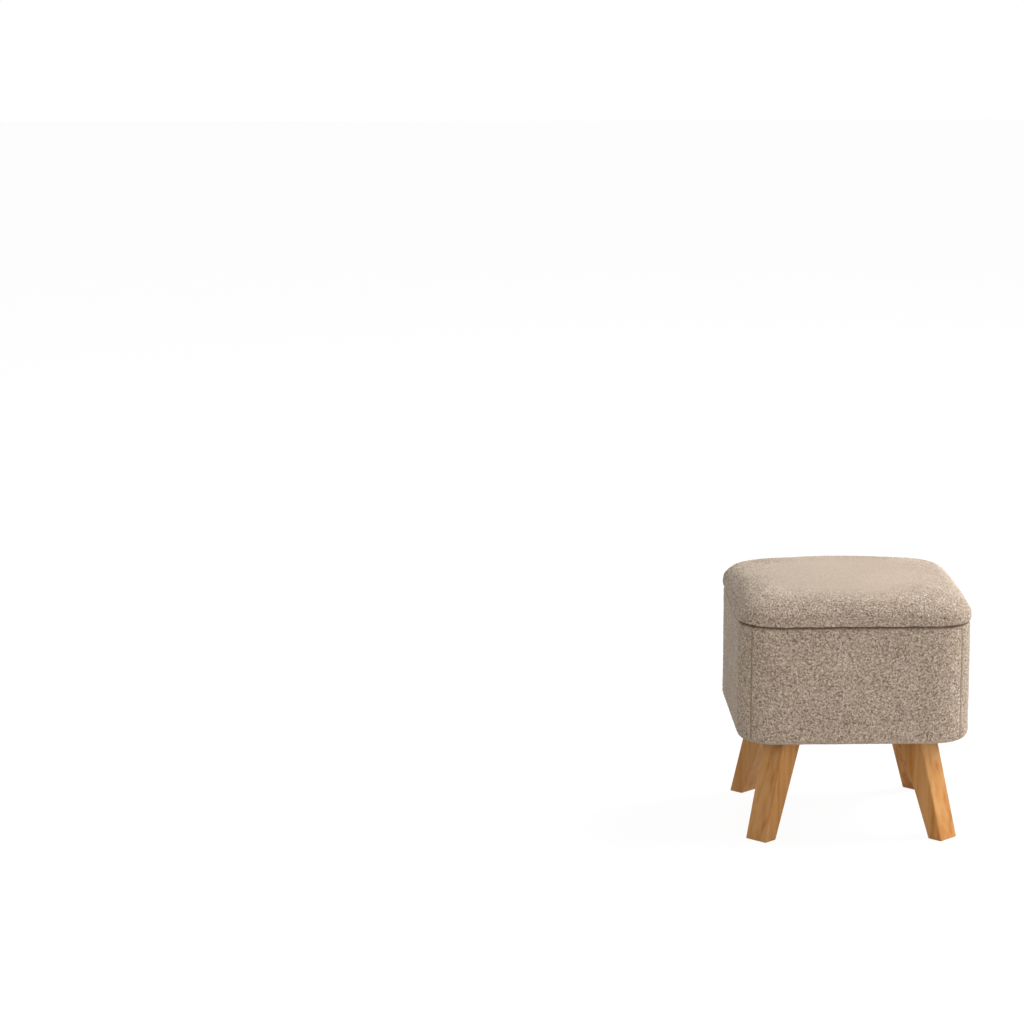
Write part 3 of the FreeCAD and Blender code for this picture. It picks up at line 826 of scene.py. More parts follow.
@dataclass
class Pile:
    """Curls of the fleece, pushed out of and into a fine mesh by procedural textures."""

    curl_mm: float = 1.95
    curl_height: float = 1.15 * MM
    loop_mm: float = 3.4
    loop_height: float = 0.4 * MM
    tuft_mm: float = 9.0
    tuft_height: float = 0.4 * MM
    relief: float = 1.7 * MM
    swell_mm: float = 48.0
    swell_height: float = 1.1 * MM
    textures: dict[str, bpy.types.Texture] = field(default_factory=dict)

    def texture(self, name: str, kind: str, size_mm: float, **settings: object) -> None:
        """Make one of the pile's textures.

        Args:
            name: Name of the texture.
            kind: Texture type, such as CLOUDS.
            size_mm: Size of its pattern.
            settings: The texture's own properties.
        """
        texture = bpy.data.textures.new(name, kind)
        texture.noise_scale = size_mm * MM
        for key, value in settings.items():
            setattr(texture, key, value)
        self.textures[name] = texture

    def __post_init__(self) -> None:
        """Make the textures."""
        # Soft, slow unevenness of the padding and of the pile
        self.texture("swells", "CLOUDS", self.swell_mm, noise_depth=1)
        self.texture("tufts", "CLOUDS", self.tuft_mm, noise_depth=1)
        # Round domes with creases between them
        self.texture("loops", "VORONOI", self.loop_mm, distance_metric="DISTANCE_SQUARED")
        # Short wound ridges, above and below the surface alike
        self.texture(
            "curls", "DISTORTED_NOISE", self.curl_mm, noise_basis="ORIGINAL_PERLIN",
            noise_distortion="ORIGINAL_PERLIN", distortion=1.3, use_clamp=False,
        )

    def displace(self, piece: bpy.types.Object, name: str, height: float, middle: float) -> None:
        """Push a mesh out by one texture, as far as the group named pile has weight.

        Args:
            piece: Mesh to push.
            name: Name of the texture.
            height: How far its range pushes.
            middle: Value that pushes nothing.
        """
        apply_modifier(
            piece, "DISPLACE", texture=self.textures[name], texture_coords="LOCAL",
            strength=height, mid_level=middle, vertex_group="pile",
        )

    def grow(self, piece: bpy.types.Object) -> None:
        """Raise the pile where the group named pile has weight, and store its height as an attribute.

        Args:
            piece: Fine mesh with a vertex group named pile.
        """
        normals = normals_of(piece)
        self.displace(piece, "swells", self.swell_height, 0.5)
        self.displace(piece, "tufts", self.tuft_height, 0.5)
        before = points_of(piece)
        self.displace(piece, "loops", -self.loop_height, 0.4)
        self.displace(piece, "curls", self.curl_height, 0.0)
        rise = ((points_of(piece) - before) * normals).sum(axis=1)
        log.info("pile: mean %.2f mm, spread %.2f mm", rise.mean() * 1000, rise.std() * 1000)
        share = np.clip(0.5 + rise / self.relief, 0, 1).astype(np.float32)
        for label, values in (("curl_height", share), ("curl_strength", weights_of(piece, "pile"))):
            attribute = piece.data.attributes.new(label, "FLOAT", "POINT")
            attribute.data.foreach_set("value", values)


# The lid's cushion


@dataclass
class LidCushion:
    """Crowned cushion of the lid: fleece cover turned under the board and foam inside; the lining below is
    made with the other linings.
    """

    pile: Pile
    dresser: Dresser
    roll: float = 31.0 * MM
    tuck: float = 4.2 * MM
    dome_radius: float = 1900.0 * MM
    shrink: float = 2.4 * MM
    voxel: float = 4.2 * MM
    pressure: float = 4.0
    frames: int = 20
    swell_cap: float = 3.2 * MM
    evening: int = 60
    side_room: float = 0.4 * MM
    top_room: float = 0.8 * MM
    skin: float = 1.4 * MM
    groove_lift: float = 2.2 * MM
    groove_shade: float = 0.4
    barrel_room: float = 3.75 * MM
    used_pile: float = 0.22
    foam_inset: float = 3.4 * MM

    def blank(self) -> bpy.types.Object:
        """Model the cushion as a block with turned corners, a wide rolled edge and a tucked lower edge.

        Returns:
            The coarse closed form, slightly small, before it swells.
        """
        half = LID_HALF - self.shrink
        height = TOP - self.shrink - LID_BASE
        piece = add_primitive(
            bpy.ops.mesh.primitive_cube_add, "lid_cushion_cover", (0.0, MIDDLE_Y, LID_BASE + height / 2),
            (2 * half, 2 * half, height),
        )
        with editing(piece, "EDGE"):
            bevel_where(piece, "edges", upright(height / 2), LID_CORNER - self.shrink, 14)
            bevel_where(piece, "edges", level(LID_BASE + height), self.roll - self.shrink, 9)
            bevel_where(piece, "edges", level(LID_BASE), self.tuck, 3)
        return piece

    def dome(self, piece: bpy.types.Object) -> None:
        """Let the top fall away from the middle as the crown of the cushion does.

        Args:
            piece: Remeshed form.
        """
        points = points_of(piece)
        reach = np.hypot(points[:, 0], points[:, 1] - MIDDLE_Y)
        fall = reach ** 2 / (2 * self.dome_radius)
        share = ramp(points[:, 2], LID_BASE + self.tuck, TOP - self.shrink)
        points[:, 2] -= fall * share
        place_points(piece, points)

    def inflate(self, piece: bpy.types.Object) -> None:
        """Blow the cushion up as cloth, no point further than the cap, with its underside held.

        Args:
            piece: Remeshed form.
        """
        rest = points_of(piece)
        weigh(piece, "held", 1.0 - ramp(rest[:, 2], LID_BASE + 1.0 * MM, LID_BASE + 4.0 * MM))
        pick(piece)
        modifier = piece.modifiers.new("swell", "CLOTH")
        modifier.settings.use_pressure = True
        modifier.settings.uniform_pressure_force = self.pressure
        modifier.settings.effector_weights.gravity = 0.0
        modifier.settings.vertex_group_mass = "held"
        scene = bpy.context.scene
        for number in range(1, self.frames + 1):
            scene.frame_set(number)
        blown = piece.evaluated_get(bpy.context.evaluated_depsgraph_get())
        moved = points_of(blown) - rest
        piece.modifiers.remove(modifier)
        scene.frame_set(1)
        length = np.linalg.norm(moved, axis=1, keepdims=True)
        log.info("cushion swelled by up to %.1f mm", length.max() * 1000)
        moved *= np.minimum(1.0, self.swell_cap / np.maximum(length, 1e-9))
        # The foam holds the cover out evenly, so only the slow part of the swelling stays
        place_points(piece, rest + evened(piece, moved, self.evening))

    def fit(self, piece: bpy.types.Object) -> None:
        """Draw the swollen form out to the lid's full width and height.

        Args:
            piece: Swollen form.
        """
        points = points_of(piece)
        middle = np.array([0.0, MIDDLE_Y])
        plan = points[:, :2] - middle
        up = points[:, 2] - LID_BASE
        points[:, :2] = middle + plan * (LID_HALF - self.side_room) / np.abs(plan).max(axis=0)
        points[:, 2] = LID_BASE + up * (TOP - self.top_room - LID_BASE) / up.max()
        place_points(piece, points)

    def flatten(self, piece: bpy.types.Object) -> None:
        """Lay the underside flat on its plane.

        Args:
            piece: Closed form.
        """
        points = points_of(piece)
        low = points[:, 2] < LID_BASE + 1.2 * MM
        points[low, 2] = LID_BASE
        place_points(piece, points)

    def open_groove(self, piece: bpy.types.Object) -> None:
        """Lift the outer lower edge, so that the seam above the box opens into a dark groove.

        Args:
            piece: Fine closed form.
        """
        points = points_of(piece)
        inset = inset_of(points, LID_HALF, LID_CORNER)
        edge = 1.0 - ramp(inset, 4.5 * MM, 11.0 * MM)
        low = 1.0 - ramp(points[:, 2], LID_BASE + 3.0 * MM, LID_BASE + 11.0 * MM)
        # The sewn edge wanders up and down by less than a millimetre
        along = (points[:, 0] + points[:, 1]) / MM
        wander = 0.45 * np.sin(along / 9.0) + 0.25 * np.sin(along / 4.1 + 1.3)
        points[:, 2] += (self.groove_lift + wander * MM) * edge * low
        place_points(piece, points)

    def near_leaf(self, x: float, y: float, z: float) -> bool:
        """Tell whether a point lies in the room that a hinge leaf needs."""
        return beside_leaf(x) and y - MIDDLE_Y > CAVITY_HALF - 1.0 * MM and z < HINGE_Z + 1.8 * MM

    def open_below(self, piece: bpy.types.Object) -> None:
        """Cut the cover away inside its turned-under edge and over the hinge leaves.

        Args:
            piece: Fine closed form.
        """
        def unwanted(face: bmesh.types.BMFace) -> bool:
            """Tell whether a face lies in the eight-sided opening or in the room of a leaf.

            Args:
                face: Face of the cover.
            Returns:
                Whether it goes.
            """
            x, y, z = face.calc_center_median()
            across, ahead = abs(x), abs(y - MIDDLE_Y)
            inside = max(across, ahead, (across + ahead) / 1.8) < TURNED_HALF and z < LID_BASE + 1.0 * MM
            return inside or self.near_leaf(x, y, z)

        delete_faces(piece, unwanted)

    def clear_barrels(self, piece: bpy.types.Object) -> None:
        """Press the pile back from the hinge barrels.

        Args:
            piece: Cover.
        """
        points = points_of(piece)
        barrel = np.array([HINGE_Y, HINGE_Z])
        away = points[:, 1:] - barrel
        distance = np.linalg.norm(away, axis=1)
        beside = np.abs(np.abs(points[:, 0]) - HINGE_X) < LEAF_HALF + 1.0 * MM
        close = beside & (distance < self.barrel_room)
        points[close, 1:] = barrel + away[close] * (self.barrel_room / distance[close])[:, None]
        place_points(piece, points)

    def cover(self, form: bpy.types.Object) -> bpy.types.Object:
        """Turn the swollen form into the fleece cover.

        Args:
            form: Swollen form, which becomes the cover.
        Returns:
            The cover.
        """
        apply_modifier(form, "SUBSURF", levels=2, render_levels=2)
        self.flatten(form)
        self.open_groove(form)
        self.open_below(form)
        dress_skin(form, self.skin)
        points = points_of(form)
        outer = np.arange(len(points)) < form["outer_points"]
        rise = ramp(points[:, 2], LID_BASE + 0.2 * MM, LID_BASE + 1.8 * MM, PRESSED_PILE)
        # The pile lies flatter towards the middle of the top, where the cushion is used
        reach = np.hypot(points[:, 0], points[:, 1] - MIDDLE_Y)
        worn = ramp(reach, 95.0 * MM, 190.0 * MM, self.used_pile)
        weigh(form, "pile", np.where(outer, rise * worn, 0.0))
        thin_inside(form)
        self.pile.grow(form)
        self.paint_groove_shade(form)
        self.clear_barrels(form)
        return form

    def paint_groove_shade(self, piece: bpy.types.Object) -> None:
        """Paint shade into the pile inside the groove, by lowering its stored height.

        Args:
            piece: Cover with its pile grown.
        """
        points = points_of(piece)
        inset = inset_of(points, LID_HALF, LID_CORNER)
        low = 1.0 - ramp(points[:, 2], LID_BASE + 2.0 * MM, LID_BASE + 4.0 * MM)
        paint_pile_shade(piece, self.groove_shade * low * hump(inset, 7.5 * MM, 2.5 * MM))

    def foam(self, form: bpy.types.Object) -> bpy.types.Object:
        """Cut the foam from the same form, hollowed below for the board.

        Args:
            form: Swollen form, which becomes the foam.
        Returns:
            The foam.
        """
        apply_modifier(form, "DISPLACE", strength=-self.foam_inset, mid_level=0.0)
        size = 2 * WOOD_HALF + 0.8 * MM
        bottom, top = LID_BASE - 10.0 * MM, LID_BASE + 13.8 * MM
        cutter = add_primitive(
            bpy.ops.mesh.primitive_cube_add, "board_room", (0.0, MIDDLE_Y, (bottom + top) / 2),
            (size, size, top - bottom),
        )
        with editing(cutter, "EDGE"):
            bevel_where(cutter, "edges", upright((top - bottom) / 2), 50.0 * MM, 12)
        cut_away(form, cutter)
        return form

    def build(self) -> None:
        """Make the cover and the foam and put them on the lid."""
        form = self.blank()
        pick(form)
        form.data.remesh_voxel_size = self.voxel
        bpy.ops.object.voxel_remesh()
        self.dome(form)
        self.inflate(form)
        self.fit(form)
        self.flatten(form)
        foam = self.foam(duplicate(form, "lid_cushion_foam"))
        cover = self.cover(form)
        smooth(foam)
        self.dresser.place(cover, "lid_cover", Body.LID, Slot.FLEECE)
        self.dresser.place(foam, "lid_foam", Body.LID, Slot.FOAM)


def paint_pile_shade(piece: bpy.types.Object, amount: np.ndarray) -> None:
    """Paint shade by lowering the stored pile height, which the finish shows darker.

    Args:
        piece: Piece with its pile grown.
        amount: 0 to 1 for each point, how much shade is painted there; 1 makes it as dark as the bottom of
            the pile.
    """
    values = piece.data.attributes["curl_height"].data
    share = np.zeros(len(amount), np.float32)
    values.foreach_get("value", share)
    values.foreach_set("value", (share * (1.0 - amount)).astype(np.float32))


def dress_skin(piece: bpy.types.Object, thickness: float) -> None:
    """Give an open skin its thickness inwards, and remember how many points are outside.

    Args:
        piece: Open mesh with its faces pointing out.
        thickness: Thickness of the cloth.
    """
    piece["outer_points"] = len(piece.data.vertices)
    apply_modifier(piece, "SOLIDIFY", thickness=thickness, offset=-1.0, use_even_offset=False)


def thin_inside(piece: bpy.types.Object) -> None:
    """Leave the unseen inner side of a skin with a few faces only.

    Args:
        piece: Skin whose inner points come after its outer points.
    """
    inner = (np.arange(len(piece.data.vertices)) >= piece["outer_points"]).astype(float)
    weigh(piece, "inner", inner)
    apply_modifier(piece, "DECIMATE", ratio=0.56, vertex_group="inner", vertex_group_factor=10.0)


# The box's upholstery


@dataclass
class BoxUpholstery:
    """Four sewn fleece panels round the box, and the foam wrapped round the case below them."""

    pile: Pile
    dresser: Dresser
    rim_roll: float = 3.6 * MM
    rim_sink: float = 1.9 * MM
    base_roll: float = 15.0 * MM
    step: float = 1.05 * MM
    skin: float = 1.7 * MM
    seam_depth: float = 1.5 * MM
    seam_width: float = 2.4 * MM
    seam_shade: float = 0.5
    groove_shade: float = 0.4
    seam_pile: float = 0.35
    base_pile: float = 0.45
    foam_joint: float = 0.2 * MM

    def cuts(self, length: float) -> int:
        """Number of cuts that leaves steps no longer than the mesh's step."""
        return min(100, max(1, round(length / self.step) - 1))

    def section(self) -> bpy.types.Object:
        """Draw the cover's section at the middle of the front: over the rim, down the side and turned under.

        Returns:
            A chain of edges.
        """
        height = RIM - BOX_BASE
        pile_height_and_shade = BOX_HALF - TURNED_HALF
        y_out, y_in = MIDDLE_Y - BOX_HALF, MIDDLE_Y - TURNED_HALF
        piece = add_primitive(
            bpy.ops.mesh.primitive_plane_add, "fleece_panel_front",
            (0.0, (y_out + y_in) / 2, (RIM + BOX_BASE) / 2), (height, pile_height_and_shade, 1.0), (0.0, math.pi / 2, 0.0),
        )

        def at(v: bmesh.types.BMVert, y: float, z: float) -> bool:
            """Tell whether a point of the section is at a place."""
            return abs(v.co.y - y) < TINY and abs(v.co.z - z) < TINY

        with editing(piece, "VERT"):
            select_where(piece, "verts", lambda v: at(v, y_in, RIM))
            bpy.ops.transform.translate(value=(0.0, TURNED_HALF - CAVITY_HALF, 0.0))
            bevel_where(piece, "verts", lambda v: at(v, y_out, BOX_BASE), self.base_roll, 17)
            bevel_where(piece, "verts", lambda v: at(v, y_out, RIM), self.rim_roll, 5)
            bpy.ops.mesh.select_mode(type="EDGE")
            inner = MIDDLE_Y - CAVITY_HALF - TINY
            select_where(piece, "edges", lambda e: all(v.co.y > inner for v in e.verts))
            bpy.ops.mesh.delete(type="EDGE")
            # The rim and the turned-under edge are about 19 mm long, the side 170 mm and cut in two rounds
            for low, high, run in ((0.005, 0.04, 0.019), (0.1, 0.2, 0.085)):
                select_where(piece, "edges", lambda e: low < e.calc_length() < high)
                bpy.ops.mesh.subdivide(number_cuts=self.cuts(run))
            select_where(piece, "edges", lambda e: e.calc_length() > 1.6 * self.step)
            bpy.ops.mesh.subdivide(number_cuts=1)
        return piece

    def sweep(self, piece: bpy.types.Object) -> None:
        """Run the section along the front and round both corners to their middles.

        Args:
            piece: Chain of edges, which becomes the panel.
        """
        with editing(piece, "VERT"):
            bpy.ops.mesh.select_all(action="SELECT")
            extrude(ARC_START, 0.0, 0.0)
            bpy.ops.mesh.select_mode(type="EDGE")
            select_where(piece, "edges", lambda e: abs(e.verts[0].co.x - e.verts[1].co.x) > ARC_START / 2)
            bpy.ops.mesh.subdivide(number_cuts=self.cuts(ARC_START))
            bpy.ops.mesh.select_mode(type="VERT")
            select_where(piece, "verts", lambda v: v.co.x > ARC_START - 1e-6)
            bpy.ops.mesh.spin(
                steps=round(BOX_CORNER * math.pi / 4 / self.step), angle=-math.pi / 4,
                center=(ARC_START, MIDDLE_Y - ARC_START, 0.0), axis=(0.0, 0.0, 1.0),
            )
            bpy.ops.mesh.select_all(action="SELECT")
            bpy.ops.mesh.remove_doubles(threshold=1e-6)
        apply_modifier(piece, "MIRROR", use_axis=(True, False, False), merge_threshold=1e-5)

    def fit_corners(self, piece: bpy.types.Object) -> None:
        """Carry the rim across the top of the corner posts and draw the seam in.

        Args:
            piece: Front panel.
        """
        points = points_of(piece)
        across = np.abs(points[:, 0]) - ARC_START
        ahead = MIDDLE_Y - ARC_START - points[:, 1]
        turning = across > 1e-7
        radius = np.hypot(across, ahead)
        angle = np.arctan2(across, ahead)
        flat = turning & (points[:, 2] > RIM - TINY)
        straight = CAVITY_HALF - ARC_START
        limit = BOX_CORNER - self.rim_roll
        inner = straight / (np.cos(angle) + np.sin(angle))
        longer = limit - (limit - radius) * (limit - inner) / (limit - straight)
        radius = np.where(flat & (radius < limit), longer, radius)
        # The seam lies at 45 degrees, and this is the distance from it along the surface
        away = (math.pi / 4 - angle) * BOX_CORNER
        side = turning & (points[:, 2] < RIM - TINY)
        draw = self.seam_depth * hump(away, 0.0, self.seam_width)
        radius = np.where(side, radius - draw, radius)
        sign = np.sign(points[:, 0])
        # The rim's outer edge sinks a little, so that the seam below the lid opens into a groove
        edge = 1.0 - ramp(inset_of(points, BOX_HALF, BOX_CORNER), 3.0 * MM, 9.0 * MM)
        high = ramp(points[:, 2], RIM - 11.0 * MM, RIM - 3.0 * MM)
        points[:, 2] -= self.rim_sink * edge * high
        points[turning, 0] = (sign * (ARC_START + radius * np.sin(angle)))[turning]
        points[turning, 1] = (MIDDLE_Y - ARC_START - radius * np.cos(angle))[turning]
        place_points(piece, points)

    def face_out(self, piece: bpy.types.Object) -> None:
        """Make a panel's faces point away from the stool.

        Args:
            piece: Front panel.
        """
        with editing(piece, "FACE"):
            bpy.ops.mesh.select_all(action="SELECT")
            bpy.ops.mesh.normals_make_consistent(inside=False)
        middle = min(piece.data.polygons, key=lambda p: (p.center - Vector((0.0, -BOX_HALF, 0.25))).length)
        if middle.normal.y > 0:
            piece.data.flip_normals()

    def notch(self, piece: bpy.types.Object) -> None:
        """Cut the rear panel clear of the hinge leaves.

        Args:
            piece: Rear panel.
        """
        def unwanted(face: bmesh.types.BMFace) -> bool:
            """Tell whether a face lies under a leaf."""
            middle = face.calc_center_median()
            return beside_leaf(middle.x) and middle.z > RIM - 1.5 * MM

        delete_faces(piece, unwanted)

    def dress(self, piece: bpy.types.Object, side: Side) -> None:
        """Turn a panel to its side, thicken it and raise its pile.

        Args:
            piece: Copy of the front panel, facing out.
            side: Side of the stool that it covers.
        """
        place_points(piece, turned_points(points_of(piece), side.value))
        if side is Side.REAR:
            self.notch(piece)
        dress_skin(piece, self.skin)
        points = points_of(piece)
        outer = np.arange(len(points)) < piece["outer_points"]
        down = ramp(RIM - points[:, 2], 0.2 * MM, 1.6 * MM, PRESSED_PILE)
        under = ramp(points[:, 2], BOX_BASE + 0.5 * MM, BOX_BASE + 8.0 * MM, self.base_pile)
        x, y = np.abs(points[:, 0]), np.abs(points[:, 1] - MIDDLE_Y)
        seam = ramp(np.abs(x - y), 0.5 * MM, 4.5 * MM, self.seam_pile)
        weigh(piece, "pile", np.where(outer, down * under * seam, 0.0))
        thin_inside(piece)
        self.pile.grow(piece)
        self.paint_seam_shade(piece)
        self.dresser.place(piece, "box_cover_" + side.name.lower(), Body.BOX, Slot.FLEECE)

    def paint_seam_shade(self, piece: bpy.types.Object) -> None:
        """Paint shade into the valleys of the corner seams and into the groove below the lid, by lowering the
        stored pile height.

        Args:
            piece: Dressed panel.
        """
        points = points_of(piece)
        across = np.abs(np.abs(points[:, 0]) - np.abs(points[:, 1] - MIDDLE_Y)) / math.sqrt(2)
        valley_shade = self.seam_shade * hump(across, 0.0, 1.1 * MM)
        inset = inset_of(points, BOX_HALF, BOX_CORNER)
        high = ramp(points[:, 2], RIM - 4.0 * MM, RIM - 2.0 * MM)
        groove = self.groove_shade * high * hump(inset, 6.0 * MM, 2.5 * MM)
        paint_pile_shade(piece, np.maximum(valley_shade, groove))

    def wrap(self) -> bpy.types.Object:
        """Model the foam strip that runs once round the case and meets itself at the rear.

        Returns:
            The foam.
        """
        inner, outer = WOOD_HALF + 0.3 * MM, BOX_HALF - 3.4 * MM
        low, high = BOX_BASE + 3.5 * MM, RIM - 3.6 * MM
        piece = add_primitive(
            bpy.ops.mesh.primitive_plane_add, "case_foam_wrap",
            (0.0, MIDDLE_Y + (inner + outer) / 2, (low + high) / 2), (high - low, outer - inner, 1.0),
            (0.0, math.pi / 2, 0.0),
        )
        edge = MIDDLE_Y + outer - TINY
        with editing(piece, "VERT"):
            bevel_where(piece, "verts", lambda v: v.co.y > edge and v.co.z < low + TINY, 5.0 * MM, 5)
            bevel_where(piece, "verts", lambda v: v.co.y > edge and v.co.z > high - TINY, 2.5 * MM, 3)
            bpy.ops.mesh.select_all(action="SELECT")
            bpy.ops.transform.translate(value=(self.foam_joint, 0.0, 0.0))
            runs = (
                ((ARC_START - self.foam_joint, 0.0), (1, 1)),
                ((0.0, -2 * ARC_START), (1, -1)),
                ((-2 * ARC_START, 0.0), (-1, -1)),
                ((0.0, 2 * ARC_START), (-1, 1)),
            )
            for (dx, dy), (sx, sy) in runs:
                extrude(dx, dy, 0.0)
                bpy.ops.mesh.spin(
                    steps=12, angle=math.pi / 2,
                    center=(sx * ARC_START, MIDDLE_Y + sy * ARC_START, 0.0), axis=(0.0, 0.0, 1.0),
                )
            extrude(ARC_START - self.foam_joint, 0.0, 0.0)
            bpy.ops.mesh.select_all(action="SELECT")
            bpy.ops.mesh.remove_doubles(threshold=1e-6)
            bpy.ops.mesh.normals_make_consistent(inside=False)
        return piece

    def build(self) -> None:
        """Make the four panels and the foam and put them on the box."""
        front = self.section()
        self.sweep(front)
        self.fit_corners(front)
        self.face_out(front)
        panels = {side: duplicate(front, "fleece_panel_" + side.name.lower()) for side in list(Side)[1:]}
        panels[Side.FRONT] = front
        for side, panel in panels.items():
            self.dress(panel, side)
        foam = self.wrap()
        smooth(foam)
        self.dresser.place(foam, "side_padding", Body.BOX, Slot.FOAM)


# Linings and the dust cover


@dataclass
class Linings:
    """Cloth inside the storage space, under the lid and under the box."""

    dresser: Dresser
    cloth: float = 0.6 * MM
    dust_cloth: float = 0.5 * MM
    floor_height: float = 176.8 * MM
    wall_foot: float = 177.6 * MM
    hem_foot: float = 334.0 * MM
    wall_top: float = 348.2 * MM
    lid_height: float = 348.95 * MM
    lid_half: float = 156.0 * MM
    dust_height: float = 159.7 * MM
    dust_half: float = 160.0 * MM
    dust_corner: float = 40.0 * MM
    leg_reach: float = 148.6 * MM
    leg_length: float = 49.8 * MM
    leg_width: float = 45.0 * MM

    def outline(self, name: str, half: float, corner: float, z: float, segments: int) -> bpy.types.Object:
        """Cut a flat square sheet with its corners taken off.

        Args:
            name: Name of the piece.
            half: Half its width.
            corner: How much of each side a corner takes.
            z: Height that it lies at.
            segments: 1 for a straight cut corner, more for a round one.
        Returns:
            The flat sheet.
        """
        piece = add_primitive(
            bpy.ops.mesh.primitive_plane_add, name, (0.0, MIDDLE_Y, z), (2 * half, 2 * half, 1.0)
        )
        with editing(piece, "VERT"):
            bpy.ops.mesh.select_all(action="SELECT")
            bpy.ops.mesh.bevel(offset=corner, segments=segments, affect="VERTICES")
        return piece

    def hem(self, piece: bpy.types.Object, width: float, rise: float) -> None:
        """Raise a border of a flat sheet a little proud, as a hem folded back on itself stands.

        Args:
            piece: Flat sheet.
            width: Width of the border.
            rise: How far the border stands up, or down below 0.
        """
        with editing(piece, "FACE"):
            bpy.ops.mesh.select_all(action="SELECT")
            bpy.ops.mesh.inset(thickness=width)
            bpy.ops.mesh.inset(thickness=1.2 * MM)
            select_where(piece, "faces", lambda f: len(f.verts) > 4)
            bpy.ops.transform.translate(value=(0.0, 0.0, -rise))
        points = points_of(piece)
        points[:, 2] += rise / 2
        place_points(piece, points)

    def finish_sheet(
        self, piece: bpy.types.Object, node: str, body: Body,
        slot: Slot,
    ) -> None:
        """Args:
            piece: The sheet.
            node: CAD node that it stands for.
            body: Body that it rides on.
            slot: Material slot.
        """
        self.dresser.place(piece, node, body, slot)

    def floor(self) -> None:
        """Floor lining, laid on the bottom board."""
        half = CAVITY_HALF - 1.2 * MM
        corner = CAVITY_HALF - ARC_START
        piece = self.outline("storage_floor_lining", half, corner, self.floor_height, 1)
        self.hem(piece, 9.0 * MM, 0.4 * MM)
        apply_modifier(piece, "SOLIDIFY", thickness=self.cloth, offset=0.0)
        self.finish_sheet(piece, "lining_floor", Body.BOX,
                          Slot.LINING)

    def walls(self) -> None:
        """Wall lining, one strip round the storage space with a hem at its top."""
        half = CAVITY_HALF - 0.5 * MM
        corner = CAVITY_HALF - ARC_START
        low, hem, high = self.wall_foot, self.hem_foot, self.wall_top
        piece = self.outline("storage_wall_lining", half, corner, low, 1)
        with editing(piece, "FACE"):
            bpy.ops.mesh.select_all(action="SELECT")
            bpy.ops.mesh.delete(type="ONLY_FACE")
            bpy.ops.mesh.select_mode(type="EDGE")
            bpy.ops.mesh.select_all(action="SELECT")
            extrude(0.0, 0.0, hem - low)
            extrude(0.0, 0.0, 0.8 * MM)
            bpy.ops.transform.resize(value=(0.996, 0.996, 1.0), center_override=(0.0, MIDDLE_Y, hem))
            extrude(0.0, 0.0, high - hem)
            bpy.ops.mesh.select_all(action="SELECT")
            bpy.ops.mesh.normals_make_consistent(inside=True)
        apply_modifier(piece, "SOLIDIFY", thickness=self.cloth, offset=0.0)
        self.finish_sheet(piece, "lining_walls", Body.BOX,
                          Slot.LINING)

    def under_lid(self) -> None:
        """Lining under the lid's board."""
        half = self.lid_half
        corner = CAVITY_HALF - ARC_START
        piece = self.outline("lid_underside_lining", half, corner, self.lid_height, 1)
        self.hem(piece, 10.0 * MM, -0.35 * MM)
        apply_modifier(piece, "SOLIDIFY", thickness=self.cloth, offset=0.0)
        self.finish_sheet(piece, "lid_lining", Body.LID,
                          Slot.LINING)

    def dust_cover(self) -> None:
        """Black sheet under the box, cut out round the tops of the legs."""
        half, corner = self.dust_half, self.dust_corner
        piece = self.outline("dust_cover_sheet", half, corner, self.dust_height, 8)
        self.hem(piece, 12.0 * MM, -0.3 * MM)
        apply_modifier(piece, "SOLIDIFY", thickness=self.dust_cloth, offset=0.0)
        # Each leg's room lies along its diagonal from the middle of the stool
        room = (self.leg_length, self.leg_width, 10.0 * MM)
        for quarter in range(4):
            turn = math.pi / 4 + quarter * math.pi / 2
            x, y = self.leg_reach * math.cos(turn), MIDDLE_Y + self.leg_reach * math.sin(turn)
            place = (x, y, self.dust_height - 0.1 * MM)
            cut_away(piece, add_primitive(
                bpy.ops.mesh.primitive_cube_add, "leg_room", place, room, (0.0, 0.0, turn)
            ))
        self.finish_sheet(piece, "dust_cover", Body.BOX,
                          Slot.DUST)

    def build(self) -> None:
        """Make all the sheets."""
        self.dust_cover()
        self.floor()
        self.walls()
        self.under_lid()


# Studio


@dataclass(frozen=True)
class Lamp:
    """Square soft lamp that looks at the stool: where it hangs, its side in metres and its power in watts."""

    name: str
    direction: tuple[float, float, float]
    size: float
    power: float
    distance: float = 4.0

    def hang(self) -> None:
        """Hang the lamp in the scene."""
        data = bpy.data.lights.new(self.name, "AREA")
        data.shape = "SQUARE"
        data.size = self.size
        data.energy = self.power
        item = bpy.data.objects.new(self.name, data)
        direction = Vector(self.direction).normalized()
        item.location = Vector((0.0, 0.0, 0.2)) + direction * self.distance
        item.rotation_euler = (-direction).to_track_quat("-Z", "Y").to_euler()
        bpy.context.scene.collection.objects.link(item)


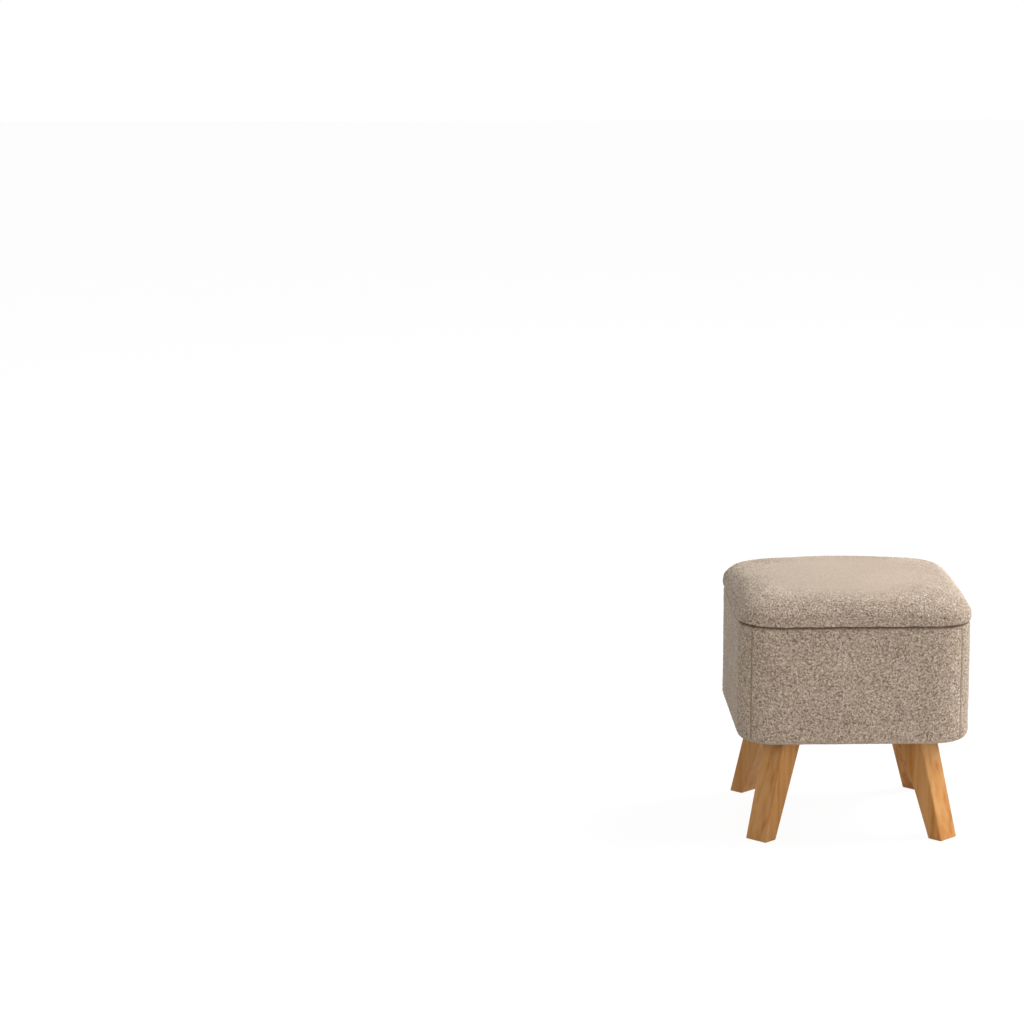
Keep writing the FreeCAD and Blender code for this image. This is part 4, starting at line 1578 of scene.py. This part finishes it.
@dataclass
class Studio:
    """Pale floor, soft lights and the camera."""

    place: tuple[float, float, float] = (-0.70925, -5.68182, 1.64689)
    pitch: float = -11.42
    yaw: float = -1.795
    lens: float = 128.66
    sky: float = 0.31
    floor_tone: str = "#cecac8"
    floor_glow: float = 1.07
    shadow_share: float = 0.12
    lamps: tuple[Lamp, ...] = (
        Lamp("key", (0.67, 0.2, 0.71), 2.6, 151.0),
        Lamp("fill", (0.4, -0.9, 0.15), 3.0, 45.0),
        Lamp("rim", (-0.8, 0.5, 0.3), 2.4, 18.0),
    )

    def camera(self) -> None:
        """Stand the camera where it shows the stool in the same place and size."""
        data = bpy.data.cameras.new("camera")
        data.lens = self.lens
        data.sensor_width = 36.0
        data.clip_end = 100.0
        item = bpy.data.objects.new("camera", data)
        item.location = self.place
        item.rotation_euler = (math.radians(90 + self.pitch), 0.0, math.radians(self.yaw))
        bpy.context.scene.collection.objects.link(item)
        bpy.context.scene.camera = item

    def seen(self, tree: bpy.types.NodeTree) -> bpy.types.NodeSocket:
        """Tell the rays that show the background from those that light the stool.

        Args:
            tree: Node tree.
        Returns:
            Socket that is 1 for camera, glossy and transmission rays.
        """
        path = add_node(tree, "LightPath")
        pair = add_node(
            tree, "Math", {0: path.outputs["Is Camera Ray"], 1: path.outputs["Is Glossy Ray"]},
            operation="MAXIMUM",
        ).outputs[0]
        return add_node(
            tree, "Math", {0: pair, 1: path.outputs["Is Transmission Ray"]}, operation="MAXIMUM"
        ).outputs[0]

    def world(self) -> None:
        """Surround the stool with soft grey light behind a white background."""
        world = bpy.data.worlds.new("white_surround")
        world.use_nodes = True
        tree = world.node_tree
        tree.nodes.clear()
        light = add_node(tree, "Background", {"Color": linear("#ffffff"), "Strength": self.sky})
        white = add_node(tree, "Background", {"Color": linear("#ffffff"), "Strength": 1.0})
        mixed = add_node(tree, "MixShader", {0: self.seen(tree), 1: light.outputs[0], 2: white.outputs[0]})
        add_node(tree, "OutputWorld", {"Surface": mixed.outputs[0]})
        bpy.context.scene.world = world

    def floor(self) -> None:
        """Lay the floor, white where it is seen, with the stool's shadow kept."""
        piece = add_primitive(
            bpy.ops.mesh.primitive_plane_add, "studio_floor", (0.0, 0.0, 0.0), (24.0, 24.0, 1.0)
        )
        material, tree = new_material("pale_studio_floor")
        plain = add_node(tree, "BsdfDiffuse", {"Color": linear(self.floor_tone)})
        glow = add_node(tree, "Emission", {"Color": linear("#ffffff"), "Strength": self.floor_glow})
        shadowed = add_node(tree, "BsdfDiffuse", {"Color": (1.0, 1.0, 1.0, 1.0)})
        shown = add_node(
            tree, "MixShader", {0: self.shadow_share, 1: glow.outputs[0], 2: shadowed.outputs[0]}
        )
        mixed = add_node(tree, "MixShader", {0: self.seen(tree), 1: plain.outputs[0], 2: shown.outputs[0]})
        add_node(tree, "OutputMaterial", {"Surface": mixed.outputs[0]})
        piece.data.materials.append(material)

    def build(self) -> None:
        """Set the whole studio up."""
        self.camera()
        for lamp in self.lamps:
            lamp.hang()
        self.world()
        self.floor()


def main() -> None:
    """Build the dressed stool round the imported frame."""
    logging.basicConfig(level=logging.INFO, format="%(name)s: %(message)s")
    bpy.context.scene.view_settings.view_transform = "Standard"
    dresser = Dresser(finishes())
    dresser.dress_cad_nodes()
    pile = Pile()
    Studio().build()
    LidCushion(pile, dresser).build()
    BoxUpholstery(pile, dresser).build()
    Linings(dresser).build()


if __name__ == "__main__":
    main()
